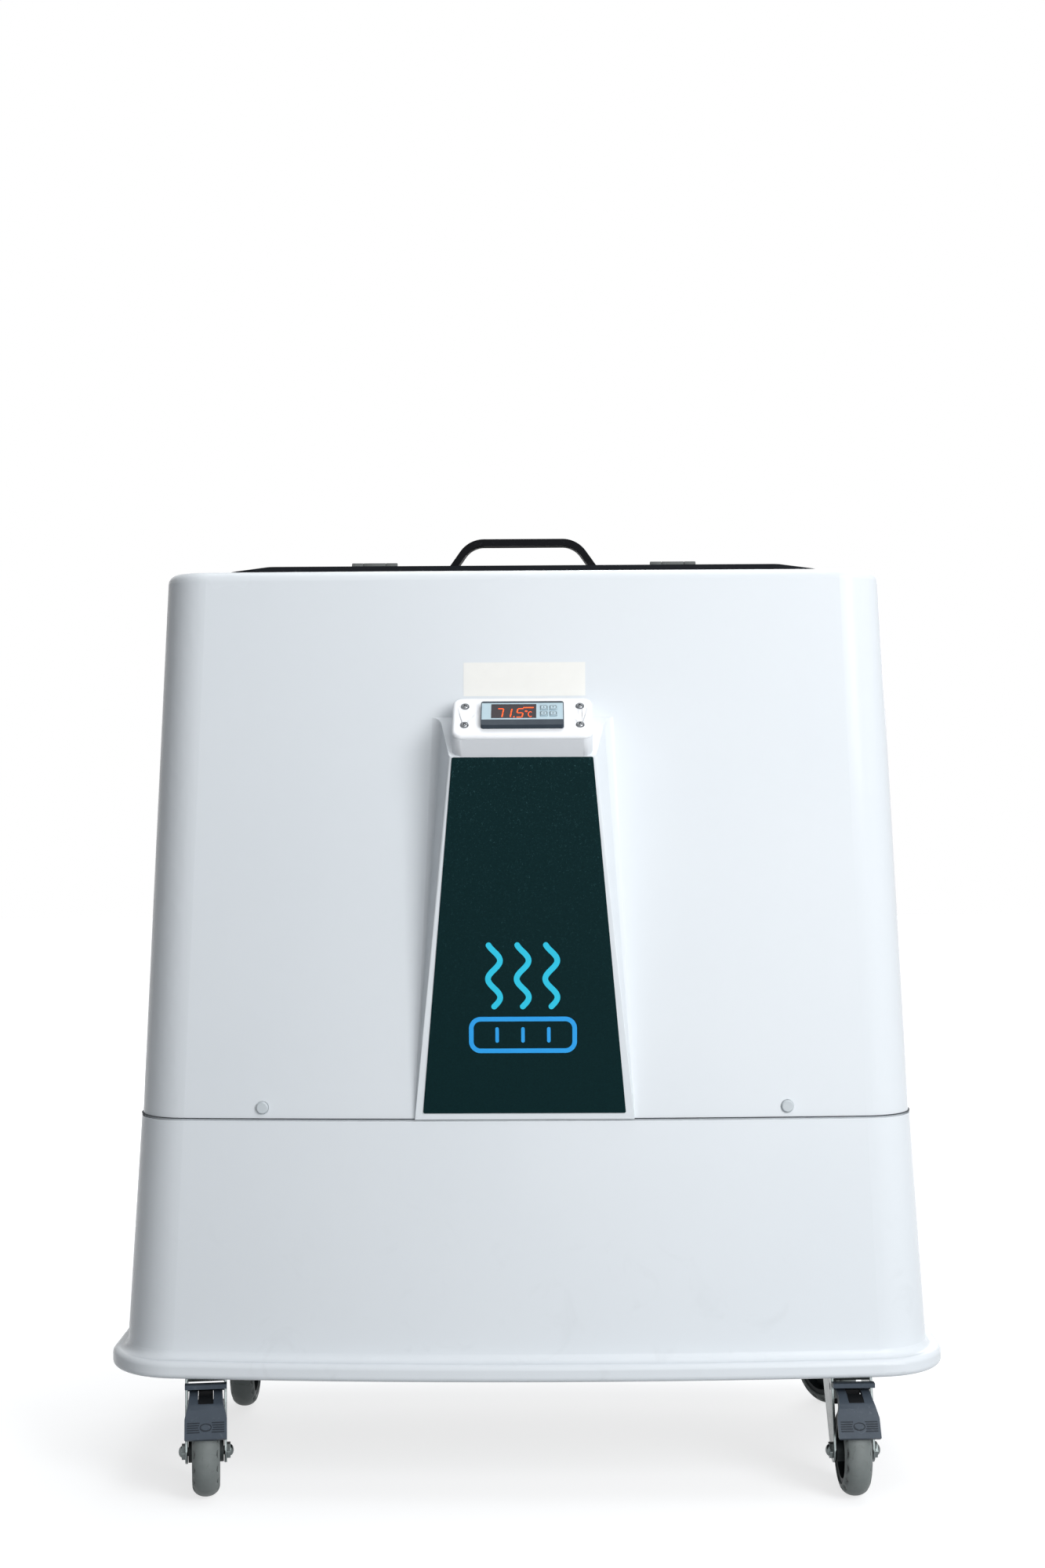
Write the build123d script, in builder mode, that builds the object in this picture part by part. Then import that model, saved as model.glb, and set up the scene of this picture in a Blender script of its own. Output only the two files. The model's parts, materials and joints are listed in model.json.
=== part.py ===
from build123d import *
from math import cos, radians, sin, tan
import os

os.makedirs("parts", exist_ok=True)

# Mobile hot pack heater. Millimetres, X to the right, Y to the rear, Z up.
# The origin lies on the floor, under the middle of the housing.

# Bumper lip round the foot of the lower shell
lip_width = 775.0
lip_depth = 410.0
lip_bow = 22.0
lip_corner = 70.0
lip_bottom = 109.0
lip_height = 16.0
lip_reach = 13.5
lip_rounding = 5.0
lip_fillet = 7.0

# Seam between the two moulded shells
seam_height = 343.0
seam_width = 720.0
seam_depth = 355.4
seam_bow = 14.5
seam_corner = 50.0
seam_step = 1.0
seam_groove = 2.0
ledge_height = 7.0
upstand_height = 28.0
upstand_wall = 3.0

# Deck at the top of the upper shell
deck_height = 847.0
deck_width = 668.0
deck_depth = 303.0
deck_bow = 2.0
deck_corner = 42.0
deck_rounding = 9.5

# Laminate, and the gap left where pieces are fitted together
wall = 4.0
fit_gap = 0.3
running_gap = 0.05

# Seam screws with their white caps
seam_screw_spread = 481.2
seam_screw_rise = 10.0
cap_diameter = 11.5
cap_height = 4.2
cap_wall = 1.2
cap_seat_depth = 1.2

# Pylon on the front of the upper shell, and the sheet on its face
platform_height = 673.5
pylon_rise_at_seam = 2.0
pylon_rise_at_platform = 42.0
pylon_flank_angle = 17.0
pylon_edge_share = 0.07
pylon_foot_share = 0.24
pylon_blend_radius = 25.0
pylon_blend_sink = 0.8
pylon_top = 725.0
pylon_wall = 5.0
pylon_wing_lift = 0.1
pylon_hollow_start = 0.25
platform_cut_reach = 80.0
platform_cut_half_width = 190.0
panel_bottom = 348.7
panel_top = 673.0
panel_bottom_width = 185.0
panel_top_width = 127.4
panel_margin_bottom = 7.0
panel_margin_top = 2.5
panel_thickness = 0.8
panel_corner = 1.5

# Control box on the sloping platform
box_width = 127.0
box_length = 57.0
box_case_depth = 19.5
box_cover_thickness = 4.0
box_corner = 9.0
box_wall = 2.5
box_edge = 3.0
box_normal_rise = 50.0
cover_screw_spread = 104.3
cover_screw_pitch = 27.0
cover_screw_offset = 1.0

# Pan head screws: in the seam, in the control box cover and in the rear service plate
screw_diameter = 4.0
screw_length = 12.0
screw_head = 7.9
screw_head_height = 2.2

# Panel thermostat in the cover
bezel_width = 75.0
bezel_height = 34.5
bezel_proud = 4.6
bezel_offset = -0.7
bezel_corner = 2.5
module_width = 70.6
module_height = 28.6
module_depth = 40.0
module_pass = 20.0
fascia_width = 73.4
fascia_height = 24.0
fascia_thickness = 0.6
fascia_offset = 2.6
window_width = 40.7
window_height = 19.9
window_from_left = 9.4
window_thickness = 1.4
window_proud = 0.3
button_width = 6.3
button_height = 6.5
button_depth = 4.0
button_proud = 0.9
button_travel = 0.5
button_gap = 0.25
button_edge = 0.45
button_columns = (19.4, 27.9)
button_rows = (7.25, -1.55)

# Lid in two leaves, hinged across the middle
lid_width = 569.0
lid_depth = 207.0
lid_corner = 45.0
lid_rim_height = 4.3
lid_field_height = 6.0
lid_field_inset = 34.0
lid_split = 1.0
lid_plug_height = 11.0
lid_plug_end_gap = 22.0
lid_plug_side_gap = 13.0
lid_plug_corner = 20.0

# Hinges of the lid
hinge_spread = 296.0
hinge_length = 45.0
hinge_strap_length = 21.0
hinge_strap_thickness = 1.6
hinge_barrel_diameter = 9.4
hinge_axis_rise = 5.5
hinge_pin_diameter = 4.0
hinge_knuckle_gap = 0.3

# Handle on the front leaf
handle_rise = 26.3
handle_foot_spread = 134.0
handle_leg_angle = 54.6
handle_strip = 6.5
handle_depth = 20.0
handle_bend = 24.7
handle_screw_diameter = 4.0
handle_screw_bite = 5.0
handle_screw_head = 9.0
handle_screw_head_height = 2.5
handle_screw_recess = 6.0

# Tank, its rim and gasket
tank_width = 540.0
tank_depth = 176.0
tank_corner = 22.0
tank_height = 420.0
tank_wall = 1.2
tank_flange = 24.0
tank_bottom_radius = 18.0
deck_opening_gap = 10.0
gasket_thickness = 1.0
gasket_width = 9.0

# Insulation boards on the tank
board_thickness = 25.0
board_top_gap = 12.0
board_foot_gap = 31.8
board_edge_gap = 3.0
bottom_board_end_gap = 70.0
bottom_board_side_gap = 28.0

# Wire rack for the packs
rack_wire = 4.0
rack_end_gap = 12.0
rack_side_gap = 6.8
rack_lid_gap = 36.6
divider_count = 5
divider_windows = 7
rack_wire_sides = 8
hoop_drop = 86.2
hoop_end_gap = 70.0
rack_seat_gap = 0.2

# Heating element, guard over it, probe and limit thermostat
element_diameter = 8.0
element_pitch = 60.0
element_bend = 15.0
element_rise = 18.0
element_left = -170.0
element_right = 185.0
element_tail = 34.0
guard_end_gap = 30.0
guard_side_gap = 24.0
guard_rise = 46.0
guard_sheet = 1.5
guard_slots = 9
guard_slot_width = 12.0
guard_slot_length = 92.0
probe_diameter = 6.0
probe_rise = 62.0
probe_tail = 22.0
probe_place = (-112.0, 52.0)
limit_diameter = 16.0
limit_height = 10.0
limit_place = (0.0, -35.0)
collar_height = 2.5
collar_reach = 6.0
probe_collar_reach = 3.0
nut_reach = 7.0
nut_height = 8.0
nut_hole_reach = 14.0

# Drain: pipe, valve with spout, lever
drain_x = 150.0
drain_tank_y = 0.0
drain_height = 205.0
drain_pipe_diameter = 15.0
drain_pipe_bore = 12.0
drain_bend = 26.0
valve_body_diameter = 24.0
valve_body_length = 30.0
valve_flange_diameter = 28.0
valve_flange_length = 4.0
valve_tail_length = 12.0
spout_diameter = 12.7
spout_length = 37.0
spout_bore = 9.0
stem_diameter = 8.0
stem_boss_diameter = 13.0
stem_boss_height = 16.0
stem_height = 7.0
lever_length = 44.0
lever_width = 12.0
lever_thickness = 3.0
lever_hub_diameter = 16.8
lever_drop = 0.3

# Drain recess and service land in the rear of the lower shell
recess_width = 112.0
recess_height = 96.0
recess_back = 145.0
land_x = -150.0
land_width = 140.0
land_height = 72.0
land_centre_height = 205.0
land_back = 178.0

# Service plate with mains inlet and power switch
plate_width = 132.0
plate_height = 64.0
plate_thickness = 2.0
plate_screw_inset = 6.5
plate_opening_width = 104.0
plate_opening_height = 42.0
inlet_offset = -26.0
inlet_width = 27.4
inlet_height = 20.0
inlet_depth = 22.0
inlet_flange = 2.5
inlet_flange_reach = 2.4
inlet_socket_width = 24.0
inlet_socket_height = 16.4
inlet_socket_depth = 17.0
inlet_pin_length = 11.0
inlet_pin_width = 2.0
inlet_pin_height = 4.0
inlet_pin_pitch = 7.0
inlet_earth_rise = 4.0
switch_offset = 28.0
switch_width = 19.0
switch_height = 27.0
switch_flange = 2.0
switch_flange_reach = 2.0
switch_depth = 18.0
switch_wall = 1.6
rocker_tilt = 7.0
rocker_pivot_depth = 3.0
rocker_drop = 7.0
rocker_proud = 2.4
rocker_end_gap = 0.9
rocker_pin_diameter = 2.4

# Chassis plate, posts and relay box
chassis_thickness = 3.0
chassis_drop = 1.0
chassis_gap = 1.5
shell_foot_flange = 10.0
shell_foot_thickness = 4.0
post_size = 30.0
post_end_inset = 40.0
post_side_inset = 38.0
relay_width = 110.0
relay_depth = 70.0
relay_height = 55.0
relay_place = (-150.0, 60.0)
relay_edge = 3.0
relay_chamfer = 1.5

# Casters
caster_inset = (90.5, 58.0)
wheel_diameter = 80.0
tread_width = 25.0
tyre_depth = 10.0
tyre_shoulder = 3.5
hub_width = 32.0
hub_diameter = 20.0
rim_width = 22.0
rim_depth = 5.0
web_thickness = 5.0
axle_diameter = 8.0
axle_nut_flats = 13.0
axle_nut_height = 3.2
fork_gap = 33.0
fork_sheet = 2.4
fork_crown_thickness = 3.4
fork_crown_length = 46.0
fork_leg_depth = 12.0
fork_foot_radius = 11.0
trail = 28.0
race_diameter = 44.0
race_thickness = 4.0
race_gap = 0.4
kingpin_diameter = 10.0
kingpin_head = 18.0
kingpin_head_height = 2.5
stem_shank_diameter = 12.0
stem_shank_length = 22.0
stem_nut_flats = 19.0
stem_nut_height = 10.0
pedal_width = 38.0
pedal_thickness = 4.0
pedal_root_width = 30.0
pedal_pivot = (-17.0, 95.0)
pedal_shoulder = (-37.0, 91.5)
pedal_elbow = (-51.0, 86.0)
pedal_tip = (-66.5, 61.0)
pedal_trunnion = 6.0
pedal_bend = 9.0
pedal_waist = 0.66
pedal_corner = 6.0
pedal_notch_width = 14.0
pedal_notch_depth = 12.5
release_bar_rise = 5.5
release_bar_depth = 8.0
release_bar_thickness = 4.0

caster_turns = {
    "front_left": 8.3,
    "front_right": 2.0,
    "rear_left": 0.0,
    "rear_right": 34.0,
}

# Places worked out from the sizes above
lip_top = lip_bottom + lip_height
lip_size = (lip_width, lip_depth, lip_bow, lip_corner)
lower_foot = (
    lip_width - 2 * lip_reach,
    lip_depth - 2 * lip_reach,
    lip_bow,
    lip_corner - lip_reach,
)
lower_rim = (seam_width, seam_depth, seam_bow, seam_corner)
upper_foot = (
    seam_width - 2 * seam_step,
    seam_depth - 2 * seam_step,
    seam_bow,
    seam_corner - seam_step,
)
upper_deck = (deck_width, deck_depth, deck_bow, deck_corner)


def blend(low, high, share):
    """Outline size part of the way from one level to another."""
    return tuple(a + (b - a) * share for a, b in zip(low, high))


def lower_size(z):
    return blend(lower_foot, lower_rim, (z - lip_top) / (seam_height - lip_top))


def upper_size(z):
    return blend(upper_foot, upper_deck, (z - seam_height) / (deck_height - seam_height))


def outline(size, z, inset=0.0):
    """Level outline with bowed front and rear, straight sides and round corners."""
    width, depth, bow, corner = size
    half_width = width / 2 - inset
    half_depth = depth / 2 - inset
    end_y = half_depth - bow
    with BuildSketch(Plane.XY.offset(z)) as face:
        with BuildLine():
            front = ThreePointArc((-half_width, -end_y), (0, -half_depth), (half_width, -end_y))
            rear = ThreePointArc((half_width, end_y), (0, half_depth), (-half_width, end_y))
            Line(front @ 1, rear @ 0)
            Line(rear @ 1, front @ 0)
        make_face()
        fillet(face.vertices(), corner - inset)
    return face.sketch.face()


def front_wall(z, x=0.0):
    """Y of the upper shell's front face at a height and a distance from the middle."""
    width, depth, bow, corner = upper_size(z)
    return -depth / 2 + bow * (x / (width / 2)) ** 2


# Lower shell: a drafted fibreglass skirt with a bumper lip round its foot.
# A foot flange inside rests on the chassis, and an upstand at the seam enters the upper shell.
chassis_bottom = lip_bottom + chassis_drop
chassis_top = chassis_bottom + chassis_thickness
foot_flange_top = chassis_top + shell_foot_thickness


def four_places(spread_x, spread_y, shift_y=0.0):
    """Four places at the corners of a rectangle."""
    return [(x * spread_x / 2, y * spread_y / 2 + shift_y) for x in (-1, 1) for y in (-1, 1)]


plate_screw_places = four_places(plate_width - 2 * plate_screw_inset, plate_height - 2 * plate_screw_inset)
groove_bottom = seam_height - seam_groove
lower_outer = [outline(lower_foot, lip_top), outline(lower_size(groove_bottom), groove_bottom)]


def pocket_backing(x, z, width, height, back_y):
    """Laminate behind a pocket in the rear wall, trimmed to the wall's outer face."""
    with BuildPart() as backing:
        loft(lower_outer, ruled=True)
        with Locations((x, back_y - wall, z)):
            Box(
                width + 2 * wall,
                lip_depth,
                height + 2 * wall,
                align=(Align.CENTER, Align.MIN, Align.CENTER),
                mode=Mode.INTERSECT,
            )
    return backing.part


land_backing = pocket_backing(land_x, land_centre_height, land_width, land_height, land_back)
recess_backing = pocket_backing(drain_x, drain_height, recess_width, recess_height, recess_back)

with BuildPart() as lower_shell:
    extrude(outline(lip_size, lip_bottom), lip_height)
    loft(lower_outer, ruled=True)
    lip_ledge = lower_shell.faces().filter_by(Axis.Z).sort_by_distance((0, -lip_depth / 2, lip_top))[0]
    fillet(lip_ledge.inner_wires().edges(), lip_fillet)
    lip_ledge = lower_shell.faces().filter_by(Axis.Z).sort_by_distance((0, -lip_depth / 2, lip_top))[0]
    lip_underside = lower_shell.faces().sort_by(Axis.Z)[0]
    fillet(lip_underside.edges() + lip_ledge.outer_wire().edges(), lip_rounding)
    extrude(outline(lower_foot, lip_bottom, wall), chassis_top - lip_bottom, mode=Mode.SUBTRACT)
    foot_opening = outline(lower_foot, chassis_top, wall + shell_foot_flange)
    extrude(foot_opening, shell_foot_thickness, mode=Mode.SUBTRACT)
    loft(
        [
            outline(lower_size(foot_flange_top), foot_flange_top, wall),
            outline(lower_rim, seam_height, wall),
        ],
        ruled=True,
        mode=Mode.SUBTRACT,
    )
    add(land_backing)
    add(recess_backing)
    with BuildSketch(Plane.XZ.offset(-land_back)):
        with Locations((land_x, land_centre_height)):
            Rectangle(land_width, land_height)
    extrude(amount=-lip_depth, mode=Mode.SUBTRACT)
    with BuildSketch(Plane.XZ.offset(-recess_back)):
        with Locations((drain_x, drain_height)):
            Rectangle(recess_width, recess_height)
    extrude(amount=-lip_depth, mode=Mode.SUBTRACT)
    upstand_inset = wall + fit_gap
    ledge_outline = outline(lower_rim, seam_height - ledge_height, seam_groove)
    ledge_inner = outline(upper_foot, seam_height - ledge_height, upstand_inset + upstand_wall)
    extrude(ledge_outline, ledge_height)
    extrude(ledge_inner, ledge_height, mode=Mode.SUBTRACT)
    upstand_top = seam_height + upstand_height
    loft(
        [
            outline(upper_foot, seam_height, upstand_inset),
            outline(upper_size(upstand_top), upstand_top, upstand_inset),
        ],
        ruled=True,
    )
    loft(
        [
            outline(upper_foot, seam_height, upstand_inset + upstand_wall),
            outline(upper_size(upstand_top), upstand_top, upstand_inset + upstand_wall),
        ],
        ruled=True,
        mode=Mode.SUBTRACT,
    )
    seam_screw_z = seam_height + seam_screw_rise
    with BuildSketch(Plane.XZ.offset(-lip_depth / 2)):
        with Locations((-seam_screw_spread / 2, seam_screw_z), (seam_screw_spread / 2, seam_screw_z)):
            Circle(screw_diameter / 2)
    extrude(amount=lip_depth, mode=Mode.SUBTRACT)
    with BuildSketch(Plane.XZ.offset(-land_back - 1)):
        with Locations((land_x, land_centre_height)):
            Rectangle(plate_opening_width, plate_opening_height)
            with Locations(*plate_screw_places):
                Circle(screw_diameter / 2)
    extrude(amount=wall + 2, mode=Mode.SUBTRACT)
    with BuildSketch(Plane.XZ.offset(-recess_back - 1)):
        with Locations((drain_x, drain_height)):
            Circle(drain_pipe_diameter / 2 + fit_gap)
    extrude(amount=wall + 2, mode=Mode.SUBTRACT)
lower_shell.part.label = "lower_shell"
export_step(lower_shell.part, "parts/lower_shell.step")


# Pylon: grows from nothing at the seam to a sloping platform for the control box.
def pylon_rise(z):
    share = (z - seam_height) / (platform_height - seam_height)
    return pylon_rise_at_seam + (pylon_rise_at_platform - pylon_rise_at_seam) * share


def pylon_front(z):
    return front_wall(z) - pylon_rise(z)


def pylon_half_face(z):
    share = (z - panel_bottom) / (panel_top - panel_bottom)
    low = panel_bottom_width / 2 + panel_margin_bottom
    high = panel_top_width / 2 + panel_margin_top
    return low + (high - low) * share


def pylon_section(z):
    """Plan of the pylon: flat face, drafted flanks, round edges and a soft foot on the wall."""
    rise = pylon_rise(z)
    face_x = pylon_half_face(z)
    foot_x = face_x + rise * tan(radians(pylon_flank_angle))
    wing_x = foot_x + rise * pylon_foot_share
    wing_y = front_wall(z, wing_x) + pylon_wing_lift
    inner_y = front_wall(z) + wall + deck_bow
    with BuildSketch(Plane.XY.offset(z)) as plan:
        with BuildLine():
            Polyline(
                (-wing_x, inner_y),
                (-wing_x, wing_y),
                (-foot_x, front_wall(z, foot_x)),
                (-face_x, pylon_front(z)),
                (face_x, pylon_front(z)),
                (foot_x, front_wall(z, foot_x)),
                (wing_x, wing_y),
                (wing_x, inner_y),
                close=True,
            )
        make_face()
        corners = plan.vertices().group_by(Axis.Y)
        fillet(corners[0], rise * pylon_edge_share)
        feet = plan.vertices().filter_by(lambda v: abs(abs(v.X) - foot_x) < 1e-3)
        fillet(feet, rise * pylon_foot_share)
    return plan.sketch.face()


slope_y = sin(radians(box_normal_rise))
slope_z = cos(radians(box_normal_rise))
box_centre_y = pylon_front(platform_height) + box_length / 2 * slope_y
box_centre_z = platform_height + box_length / 2 * slope_z
box_plane = Plane(
    origin=(0, box_centre_y, box_centre_z),
    x_dir=(1, 0, 0),
    z_dir=(0, -slope_z, slope_y),
)
pylon_lean = (pylon_front(platform_height) - pylon_front(seam_height)) / (platform_height - seam_height)
pylon_foot = (0, pylon_front(seam_height), seam_height)
pylon_plane = Plane(origin=pylon_foot, x_dir=(1, 0, 0), z_dir=(0, -1, pylon_lean))


def platform_cut(drop, sink, radius):
    """Side view of what is cut away above the platform, with the blend up to the wall."""
    start_y = pylon_front(platform_height) - platform_cut_reach * slope_y
    start_z = platform_height - platform_cut_reach * slope_z - drop
    wall_lean = (front_wall(deck_height) - front_wall(seam_height)) / (deck_height - seam_height)
    base_y = front_wall(start_z) + sink
    run = (base_y - start_y) / (slope_y / slope_z - wall_lean)
    corner_z = start_z + run
    corner_y = start_y + run * slope_y / slope_z
    with BuildSketch(Plane.YZ) as side:
        with BuildLine():
            Polyline(
                (start_y, start_z),
                (corner_y, corner_z),
                (corner_y + (deck_height - corner_z) * wall_lean, deck_height),
                (start_y, deck_height),
                close=True,
            )
        make_face()
        if radius:
            fillet(side.vertices().sort_by_distance((0, corner_y, corner_z))[0], radius)
    return side.sketch.face()


with BuildPart() as pylon_form:
    loft([pylon_section(seam_height), pylon_section(pylon_top)], ruled=True)
    blended_cut = platform_cut(0, pylon_blend_sink, pylon_blend_radius)
    extrude(blended_cut, platform_cut_half_width, both=True, mode=Mode.SUBTRACT)


def pylon_hollow_section(z):
    """Plan of the hollow behind the pylon's face."""
    half = pylon_half_face(z) - pylon_wall
    front = pylon_front(z) + pylon_wall
    rear = front_wall(z) + wall + deck_rounding
    with BuildSketch(Plane.XY.offset(z)) as plan:
        with BuildLine():
            Polyline((-half, front), (half, front), (half, rear), (-half, rear), close=True)
        make_face()
    return plan.sketch.face()


hollow_sill = seam_height + (platform_height - seam_height) * pylon_hollow_start

with BuildPart() as pylon_hollow:
    loft([pylon_hollow_section(hollow_sill), pylon_hollow_section(pylon_top)], ruled=True)
    extrude(platform_cut(pylon_wall, 0, 0), platform_cut_half_width, both=True, mode=Mode.SUBTRACT)


# Upper shell: a drafted fibreglass cover with the deck, the tank opening and the pylon.
# Flat seats for the seam screws and their caps are sunk into its front and rear.
deck_bottom = deck_height - wall
deck_opening_reach = tank_wall + deck_opening_gap
cap_seat_y = front_wall(seam_screw_z, seam_screw_spread / 2) + cap_seat_depth
seam_seats = (
    Plane(origin=(0, cap_seat_y, seam_screw_z), x_dir=(1, 0, 0), z_dir=(0, -1, 0)),
    Plane(origin=(0, -cap_seat_y, seam_screw_z), x_dir=(-1, 0, 0), z_dir=(0, 1, 0)),
)
seam_screw_places = ((-seam_screw_spread / 2, 0), (seam_screw_spread / 2, 0))
with BuildPart() as upper_shell:
    loft([outline(upper_foot, seam_height), outline(upper_deck, deck_height)], ruled=True)
    fillet(upper_shell.faces().sort_by(Axis.Z)[-1].edges(), deck_rounding)
    add(pylon_form.part)
    loft(
        [outline(upper_foot, seam_height, wall), outline(upper_size(deck_bottom), deck_bottom, wall)],
        ruled=True,
        mode=Mode.SUBTRACT,
    )
    add(pylon_hollow.part, mode=Mode.SUBTRACT)
    with BuildSketch(Plane.XY.offset(deck_bottom)):
        RectangleRounded(
            tank_width + 2 * deck_opening_reach,
            tank_depth + 2 * deck_opening_reach,
            tank_corner + deck_opening_reach,
        )
    extrude(amount=wall, mode=Mode.SUBTRACT)
    with BuildSketch(box_plane):
        RectangleRounded(box_width + 2 * fit_gap, box_length + 2 * fit_gap, box_corner + fit_gap)
    extrude(amount=box_length, mode=Mode.SUBTRACT)
    with BuildSketch(box_plane):
        with Locations((0, bezel_offset)):
            Rectangle(module_width + 2 * fit_gap, module_height + 2 * fit_gap)
    extrude(amount=-module_pass, mode=Mode.SUBTRACT)
    with BuildSketch(Plane.XZ.offset(-lip_depth / 2)):
        with Locations((-seam_screw_spread / 2, seam_screw_z), (seam_screw_spread / 2, seam_screw_z)):
            Circle(screw_diameter / 2 + fit_gap)
    extrude(amount=lip_depth, mode=Mode.SUBTRACT)
    for seat in seam_seats:
        with BuildSketch(seat):
            with Locations(*seam_screw_places):
                Circle(cap_diameter / 2 + fit_gap)
        extrude(amount=cap_height, mode=Mode.SUBTRACT)
upper_shell.part.label = "upper_shell"
export_step(upper_shell.part, "parts/upper_shell.step")


# Seam screw caps: white domed snap caps over the heads of the seam screws.
with BuildPart() as seam_screw_caps:
    for seat in seam_seats:
        with BuildSketch(seat):
            with Locations(*seam_screw_places):
                Circle(cap_diameter / 2)
        extrude(amount=cap_height)
    crowns = seam_screw_caps.faces().filter_by(Axis.Y).group_by(SortBy.AREA)[-1]
    domes = [face for face in crowns if abs(abs(face.center().Y) - abs(cap_seat_y)) > cap_wall]
    chamfer([edge for face in domes for edge in face.edges()], cap_wall)
    for seat in seam_seats:
        with BuildSketch(seat):
            with Locations(*seam_screw_places):
                Circle(screw_head / 2 + fit_gap)
        extrude(amount=screw_head_height + fit_gap, mode=Mode.SUBTRACT)
seam_screw_caps.part.label = "seam_screw_caps"
export_step(seam_screw_caps.part, "parts/seam_screw_caps.step")

# Front panel: a dark sheet stuck to the pylon's face, wider at the foot.
pylon_stretch = (1 + pylon_lean**2) ** 0.5
with BuildPart() as front_panel:
    with BuildSketch(pylon_plane) as panel_face:
        with BuildLine():
            panel_low = (panel_bottom - seam_height) * pylon_stretch
            panel_high = (panel_top - seam_height) * pylon_stretch
            Polyline(
                (-panel_bottom_width / 2, panel_low),
                (panel_bottom_width / 2, panel_low),
                (panel_top_width / 2, panel_high),
                (-panel_top_width / 2, panel_high),
                close=True,
            )
        make_face()
        fillet(panel_face.vertices(), panel_corner)
    extrude(amount=panel_thickness)
front_panel.part.label = "front_panel"
export_step(front_panel.part, "parts/front_panel.step")

# Controller case: an open box on the platform with four screw bosses.
cover_screw_places = four_places(cover_screw_spread, cover_screw_pitch, cover_screw_offset)
with BuildPart() as controller_case:
    with BuildSketch(box_plane):
        RectangleRounded(box_width, box_length, box_corner)
    extrude(amount=box_case_depth)
    with BuildSketch(box_plane.offset(box_wall)):
        RectangleRounded(box_width - 2 * box_wall, box_length - 2 * box_wall, box_corner - box_wall)
    extrude(amount=box_case_depth, mode=Mode.SUBTRACT)
    with BuildSketch(box_plane):
        with Locations(*cover_screw_places):
            Circle(screw_diameter)
    extrude(amount=box_case_depth)
    with BuildSketch(box_plane.offset(box_wall)):
        with Locations(*cover_screw_places):
            Circle(screw_diameter / 2)
    extrude(amount=box_case_depth, mode=Mode.SUBTRACT)
    with BuildSketch(box_plane):
        with Locations((0, bezel_offset)):
            Rectangle(module_width + 2 * fit_gap, module_height + 2 * fit_gap)
    extrude(amount=box_wall, mode=Mode.SUBTRACT)
controller_case.part.label = "controller_case"
export_step(controller_case.part, "parts/controller_case.step")

# Controller cover: the round edged face plate that the thermostat is let into.
cover_top = box_plane.offset(box_case_depth + box_cover_thickness)
with BuildPart() as controller_cover:
    with BuildSketch(box_plane.offset(box_case_depth)):
        RectangleRounded(box_width, box_length, box_corner)
    extrude(amount=box_cover_thickness)
    fillet(controller_cover.faces().sort_by(Axis(cover_top.origin, cover_top.z_dir))[-1].edges(), box_edge)
    with BuildSketch(cover_top):
        with Locations((0, bezel_offset)):
            Rectangle(module_width + 2 * fit_gap, module_height + 2 * fit_gap)
        with Locations(*cover_screw_places):
            Circle(screw_diameter / 2 + fit_gap)
    extrude(amount=-box_cover_thickness, mode=Mode.SUBTRACT)
controller_cover.part.label = "controller_cover"
export_step(controller_cover.part, "parts/controller_cover.step")

# Thermostat housing: a panel instrument with a proud bezel and its body behind the cover.
bezel_plane = box_plane.offset(box_case_depth + box_cover_thickness)
bezel_face = bezel_plane.offset(bezel_proud)
fascia_centre = (0, bezel_offset + fascia_offset)
window_centre = (window_from_left + window_width / 2 - bezel_width / 2, bezel_offset + fascia_offset)
button_names = ("button_up", "button_set", "button_down", "button_power")
button_places = [(x, bezel_offset + y) for x in button_columns for y in button_rows]
with BuildPart() as thermostat_housing:
    with BuildSketch(bezel_plane):
        with Locations((0, bezel_offset)):
            RectangleRounded(bezel_width, bezel_height, bezel_corner)
    extrude(amount=bezel_proud)
    with BuildSketch(bezel_plane):
        with Locations((0, bezel_offset)):
            Rectangle(module_width, module_height)
    extrude(amount=-module_depth)
    with BuildSketch(bezel_face):
        with Locations(fascia_centre):
            Rectangle(fascia_width, fascia_height)
    extrude(amount=-fascia_thickness, mode=Mode.SUBTRACT)
    with BuildSketch(bezel_face):
        with Locations(window_centre):
            Rectangle(window_width, window_height)
    extrude(amount=window_proud - window_thickness, mode=Mode.SUBTRACT)
    with BuildSketch(bezel_face):
        with Locations(*button_places):
            Rectangle(button_width + 2 * button_gap, button_height + 2 * button_gap)
    extrude(amount=button_proud - button_depth - button_travel - button_gap, mode=Mode.SUBTRACT)
thermostat_housing.part.label = "thermostat_housing"
export_step(thermostat_housing.part, "parts/thermostat_housing.step")

# Thermostat fascia: the grey-blue film round the window and the buttons.
with BuildPart() as thermostat_fascia:
    with BuildSketch(bezel_face):
        with Locations(fascia_centre):
            Rectangle(fascia_width, fascia_height)
        with Locations(window_centre):
            Rectangle(window_width, window_height, mode=Mode.SUBTRACT)
        with Locations(*button_places):
            Rectangle(button_width + 2 * button_gap, button_height + 2 * button_gap, mode=Mode.SUBTRACT)
    extrude(amount=-fascia_thickness)
thermostat_fascia.part.label = "thermostat_fascia"
export_step(thermostat_fascia.part, "parts/thermostat_fascia.step")

# Display window: a dark lens, a little proud of the bezel.
with BuildPart() as display_window:
    with BuildSketch(bezel_face.offset(window_proud)):
        with Locations(window_centre):
            Rectangle(window_width, window_height)
    extrude(amount=-window_thickness)
display_window.part.label = "display_window"
export_step(display_window.part, "parts/display_window.step")

# Push buttons: four small keys in their wells.
for button_name, place in zip(button_names, button_places):
    with BuildPart() as button:
        with BuildSketch(bezel_face.offset(button_proud)):
            with Locations(place):
                Rectangle(button_width, button_height)
        extrude(amount=-button_depth)
        fillet(button.faces().sort_by(Axis(bezel_face.origin, bezel_face.z_dir))[-1].edges(), button_edge)
    button.part.label = button_name
    export_step(button.part, f"parts/{button_name}.step")

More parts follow.
